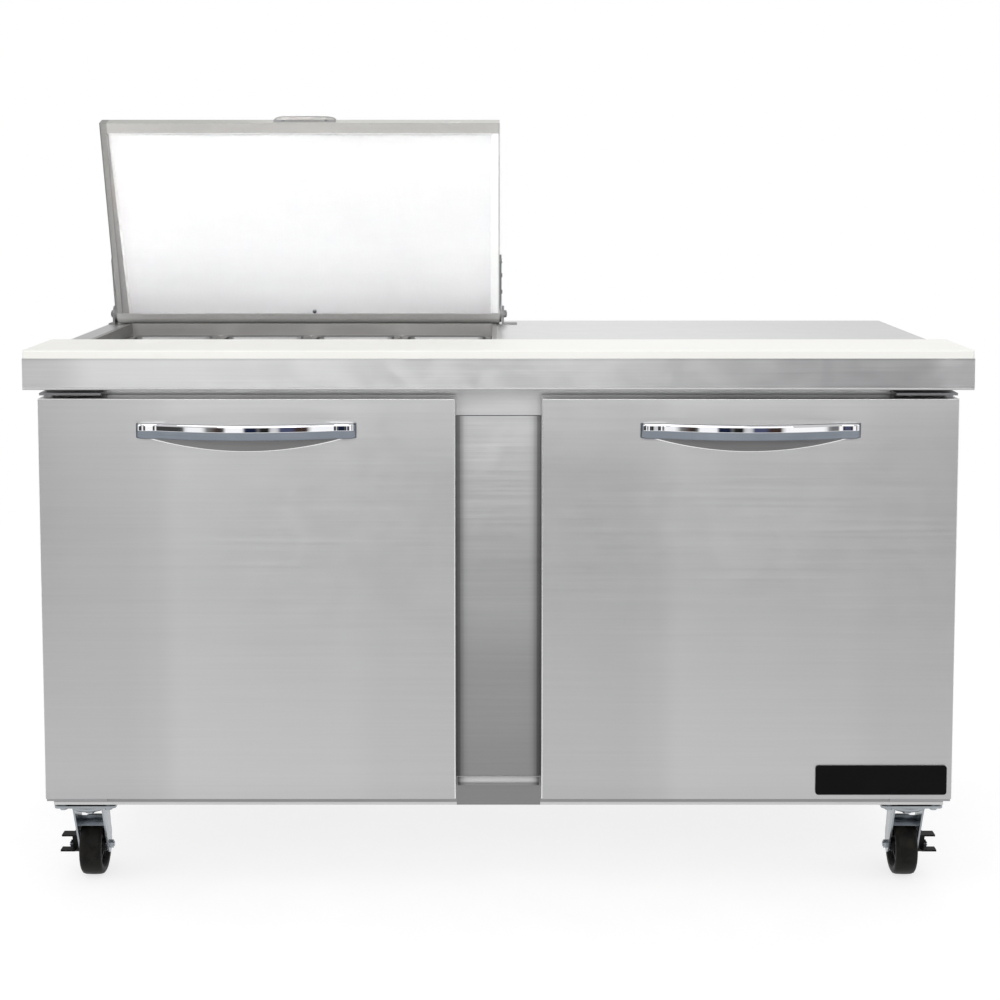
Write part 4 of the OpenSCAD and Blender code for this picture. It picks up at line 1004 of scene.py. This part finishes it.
for tag in ("front_left", "front_right", "rear_left", "rear_right"):
    # ball raceway cup over the fork crown
    lo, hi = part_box("caster_fork_" + tag)
    sx = -1 if "left" in tag else 1
    kx, ky = sx * 0.698, (-0.231 if "front" in tag else 0.285)
    bm = bmesh.new()
    zt_ = hi.z
    revolve(bm, [(0.0072, zt_ - 0.0120), (0.0292, zt_ - 0.0120), (0.0318, zt_ - 0.0100), (0.0325, zt_ - 0.0060), (0.0312, zt_ - 0.0022), (0.0285, zt_ - 0.0004), (0.0072, zt_ - 0.0004)], (kx, ky, 0), "z", 56)
    finish_mesh("raceway_" + tag, bm, "zinc", "caster_swivel_" + tag, angle=40)

# ------------------------------------------------------------------ worktop hem, closing sheet and post seam
bm = bmesh.new()
z0_, y0_ = top_lo.z, top_lo.y
hem = [(y0_ - 0.0001, z0_ + 0.0036), (y0_ - 0.0008, z0_ + 0.0028), (y0_ - 0.0009, z0_ + 0.0016), (y0_ - 0.0004, z0_ + 0.0004), (y0_ + 0.0008, z0_ - 0.0006),
       (y0_ + 0.0024, z0_ - 0.0009), (y0_ + 0.0060, z0_ - 0.0006), (y0_ + 0.0066, z0_ + 0.0001), (y0_ + 0.0006, z0_ + 0.0008), (y0_ + 0.0003, z0_ + 0.0036)]
loft(bm, [[(x, y, z) for y, z in hem] for x in (top_lo.x + 0.0004, top_hi.x - 0.0004)])
finish_mesh("worktop_hem", bm, "hem", "cabinet", angle=50)
bm = bmesh.new()
box_bm(bm, (-0.7355, -0.3545, z0_ + 0.0003), (0.7355, -0.2806, z0_ + 0.0011))
finish_mesh("worktop_closing_sheet", bm, "under_sheet", "cabinet", smooth=False)
fr_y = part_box("front_frame")[0].y
# sill cover between the doors, in dark steel as painted shade
bm = bmesh.new()
box_bm(bm, (-0.0702, fr_y - 0.0006, 0.1488), (0.0702, fr_y + 0.0004, 0.1974))
finish_mesh("sill_cover", bm, "sill_painted_shade", "cabinet", smooth=False)
bm = bmesh.new()
box_bm(bm, (-0.0700, fr_y - 0.0003, 0.80835), (0.0700, fr_y + 0.0008, 0.80965))
finish_mesh("post_seam", bm, "seam", "cabinet", smooth=False)

# ------------------------------------------------------------------ floor
me = bpy.data.meshes.new("studio_floor")
bm = bmesh.new()
s_ = 9.0
bm.faces.new(ring(bm, [(-s_, -s_, 0), (s_, -s_, 0), (s_, s_, 0), (-s_, s_, 0)]))
bm.to_mesh(me)
bm.free()
floor = bpy.data.objects.new("studio_floor", me)
scene.collection.objects.link(floor)
floor.location.z = -0.0002
fm = Mat("studio_floor")
fm.b.inputs["Roughness"].default_value = 0.85
fn = fm.noise(fm.coord.outputs["Object"], 9.0, 4.0, 0.6)
fm.link(fm.ramp(fn, [(0.3, (0.33, 0.33, 0.33)), (0.7, (0.35, 0.35, 0.35))]), fm.b.inputs["Base Color"])
fm.b.inputs["Emission Color"].default_value = (1, 1, 1, 1)
fm.b.inputs["Emission Strength"].default_value = 0.72
fm.b.inputs["Specular IOR Level"].default_value = 0.1
ln = fm.node("ShaderNodeVectorMath", operation="LENGTH")
fm.link(fm.coord.outputs["Object"], ln.inputs[0])
fade = fm.node("ShaderNodeMapRange", interpolation_type="SMOOTHSTEP")
fm.link(ln.outputs["Value"], fade.inputs["Value"])
fade.inputs["From Min"].default_value = 1.5
fade.inputs["From Max"].default_value = 4.2
tr = fm.node("ShaderNodeBsdfTransparent")
mx = fm.node("ShaderNodeMixShader")
fm.link(fade.outputs[0], mx.inputs[0])
fm.link(fm.b.outputs[0], mx.inputs[1])
fm.link(tr.outputs[0], mx.inputs[2])
fm.link(mx.outputs[0], fm.out.inputs[0])
me.materials.append(fm.m)

# ------------------------------------------------------------------ world: white to the camera, a soft studio to everything else
world = bpy.data.worlds.new("studio")
scene.world = world
world.use_nodes = True
wt = world.node_tree
wt.nodes.clear()


def wn(kind, **k):
    n = wt.nodes.new(kind)
    for key, v in k.items():
        setattr(n, key, v)
    return n


def wmath(op, a, b=0.0, clamp=False):
    n = wn("ShaderNodeMath", operation=op)
    n.use_clamp = clamp
    for value, sock in ((a, n.inputs[0]), (b, n.inputs[1])):
        if hasattr(value, "links"):
            wt.links.new(value, sock)
        else:
            sock.default_value = value
    return n.outputs[0]


wc = wn("ShaderNodeTexCoord")
sp = wn("ShaderNodeSeparateXYZ")
wt.links.new(wc.outputs["Generated"], sp.inputs[0])
X, Y, Z = sp.outputs
az = wmath("ARCTAN2", X, wmath("MULTIPLY", Y, -1.0))
az01 = wmath("ADD", wmath("MULTIPLY", az, 1 / (2 * math.pi)), 0.5)


def wramp(fac, stops, interp="LINEAR"):
    n = wn("ShaderNodeValToRGB")
    wt.links.new(fac, n.inputs[0])
    n.color_ramp.interpolation = interp
    e = n.color_ramp.elements
    while len(e) < len(stops):
        e.new(0.5)
    for el, (p, c) in zip(e, stops):
        el.position = p
        el.color = (c, c, c, 1) if isinstance(c, float) else (*c, 1)
    return n.outputs[0]


elev = wramp(wmath("ADD", wmath("MULTIPLY", Z, 0.5), 0.5), [(0.0, 0.90), (0.40, 0.95), (0.47, 0.90), (0.52, 0.62), (0.58, 0.55), (0.70, 0.65), (1.0, 0.75)])
# studio stands and openings round the front: bright and dark uprights near the horizon, seen sharply only in polished metal
NAVY, BROWN = (0.012, 0.018, 0.045), (0.055, 0.035, 0.030)
bars = wramp(az01, [(0.0, 0.95), (0.30, 0.9), (0.318, 0.9), (0.323, 0.06), (0.402, 0.06), (0.407, 1.1), (0.428, 1.1), (0.432, 0.25), (0.445, BROWN), (0.453, 0.04), (0.457, 1.15), (0.4765, 1.15), (0.479, NAVY), (0.493, NAVY), (0.495, 0.30), (0.497, 0.02),
                     (0.510, 0.015), (0.512, 0.8), (0.519, 0.8), (0.522, (0.08, 0.09, 0.16)), (0.538, (0.08, 0.09, 0.16)), (0.541, BROWN), (0.556, BROWN), (0.560, 1.15), (0.612, 1.15), (0.618, 0.2), (0.64, 0.2), (0.65, 0.95)], "LINEAR")
near = wmath("SUBTRACT", 2.6, wmath("MULTIPLY", wmath("ABSOLUTE", wmath("SUBTRACT", Z, -0.14)), 14.0), clamp=True)
mixn = wn("ShaderNodeMix", data_type="RGBA")
wt.links.new(near, mixn.inputs[0])
mixn.inputs[6].default_value = (1, 1, 1, 1)
wt.links.new(bars, mixn.inputs[7])
mult = wn("ShaderNodeMix", data_type="RGBA", blend_type="MULTIPLY")
mult.inputs[0].default_value = 1.0
wt.links.new(mixn.outputs[2], mult.inputs[6])
wt.links.new(elev, mult.inputs[7])
rad = mult.outputs[2]
studio = wn("ShaderNodeBackground")
wt.links.new(rad, studio.inputs[0])
studio.inputs[1].default_value = 1.0
white = wn("ShaderNodeBackground")
white.inputs[0].default_value = (1, 1, 1, 1)
white.inputs[1].default_value = 1.0
lp = wn("ShaderNodeLightPath")
mixs = wn("ShaderNodeMixShader")
wt.links.new(lp.outputs["Is Camera Ray"], mixs.inputs[0])
wt.links.new(studio.outputs[0], mixs.inputs[1])
wt.links.new(white.outputs[0], mixs.inputs[2])
wo = wn("ShaderNodeOutputWorld")
wt.links.new(mixs.outputs[0], wo.inputs[0])


# ------------------------------------------------------------------ lights
def area(name, loc, target, size, power, color=(1, 1, 1)):
    l = bpy.data.lights.new(name, "AREA")
    l.shape = "RECTANGLE"
    l.size, l.size_y = size
    l.energy = power
    l.color = color
    o = bpy.data.objects.new(name, l)
    scene.collection.objects.link(o)
    o.location = loc
    o.rotation_euler = (Vector(target) - Vector(loc)).to_track_quat("-Z", "Y").to_euler()
    return o


area("key_top_front", (-0.9, -2.6, 3.4), (0, 0.0, 0.6), (3.2, 1.8), 22)
area("front_fill", (0.2, -4.0, 2.2), (0, 0.0, 0.8), (4.0, 1.4), 40)
area("fill_left", (-3.4, -1.6, 1.8), (0, 0, 0.6), (1.6, 2.2), 12)
area("fill_right", (3.6, -1.2, 1.9), (0, 0, 0.6), (1.6, 2.2), 7)
area("top_soft", (0.0, 0.6, 3.4), (0, 0.1, 0.8), (3.0, 2.2), 12)
area("back_soft", (0.6, 3.4, 2.4), (0, 0, 0.6), (3.0, 2.0), 12)

lid_light = area("lid_soft", (-0.371, -2.2, 1.483), (-0.371, 0.2, 1.146), (0.80, 0.355), 0.52)
lid_light.data.spread = math.radians(3)
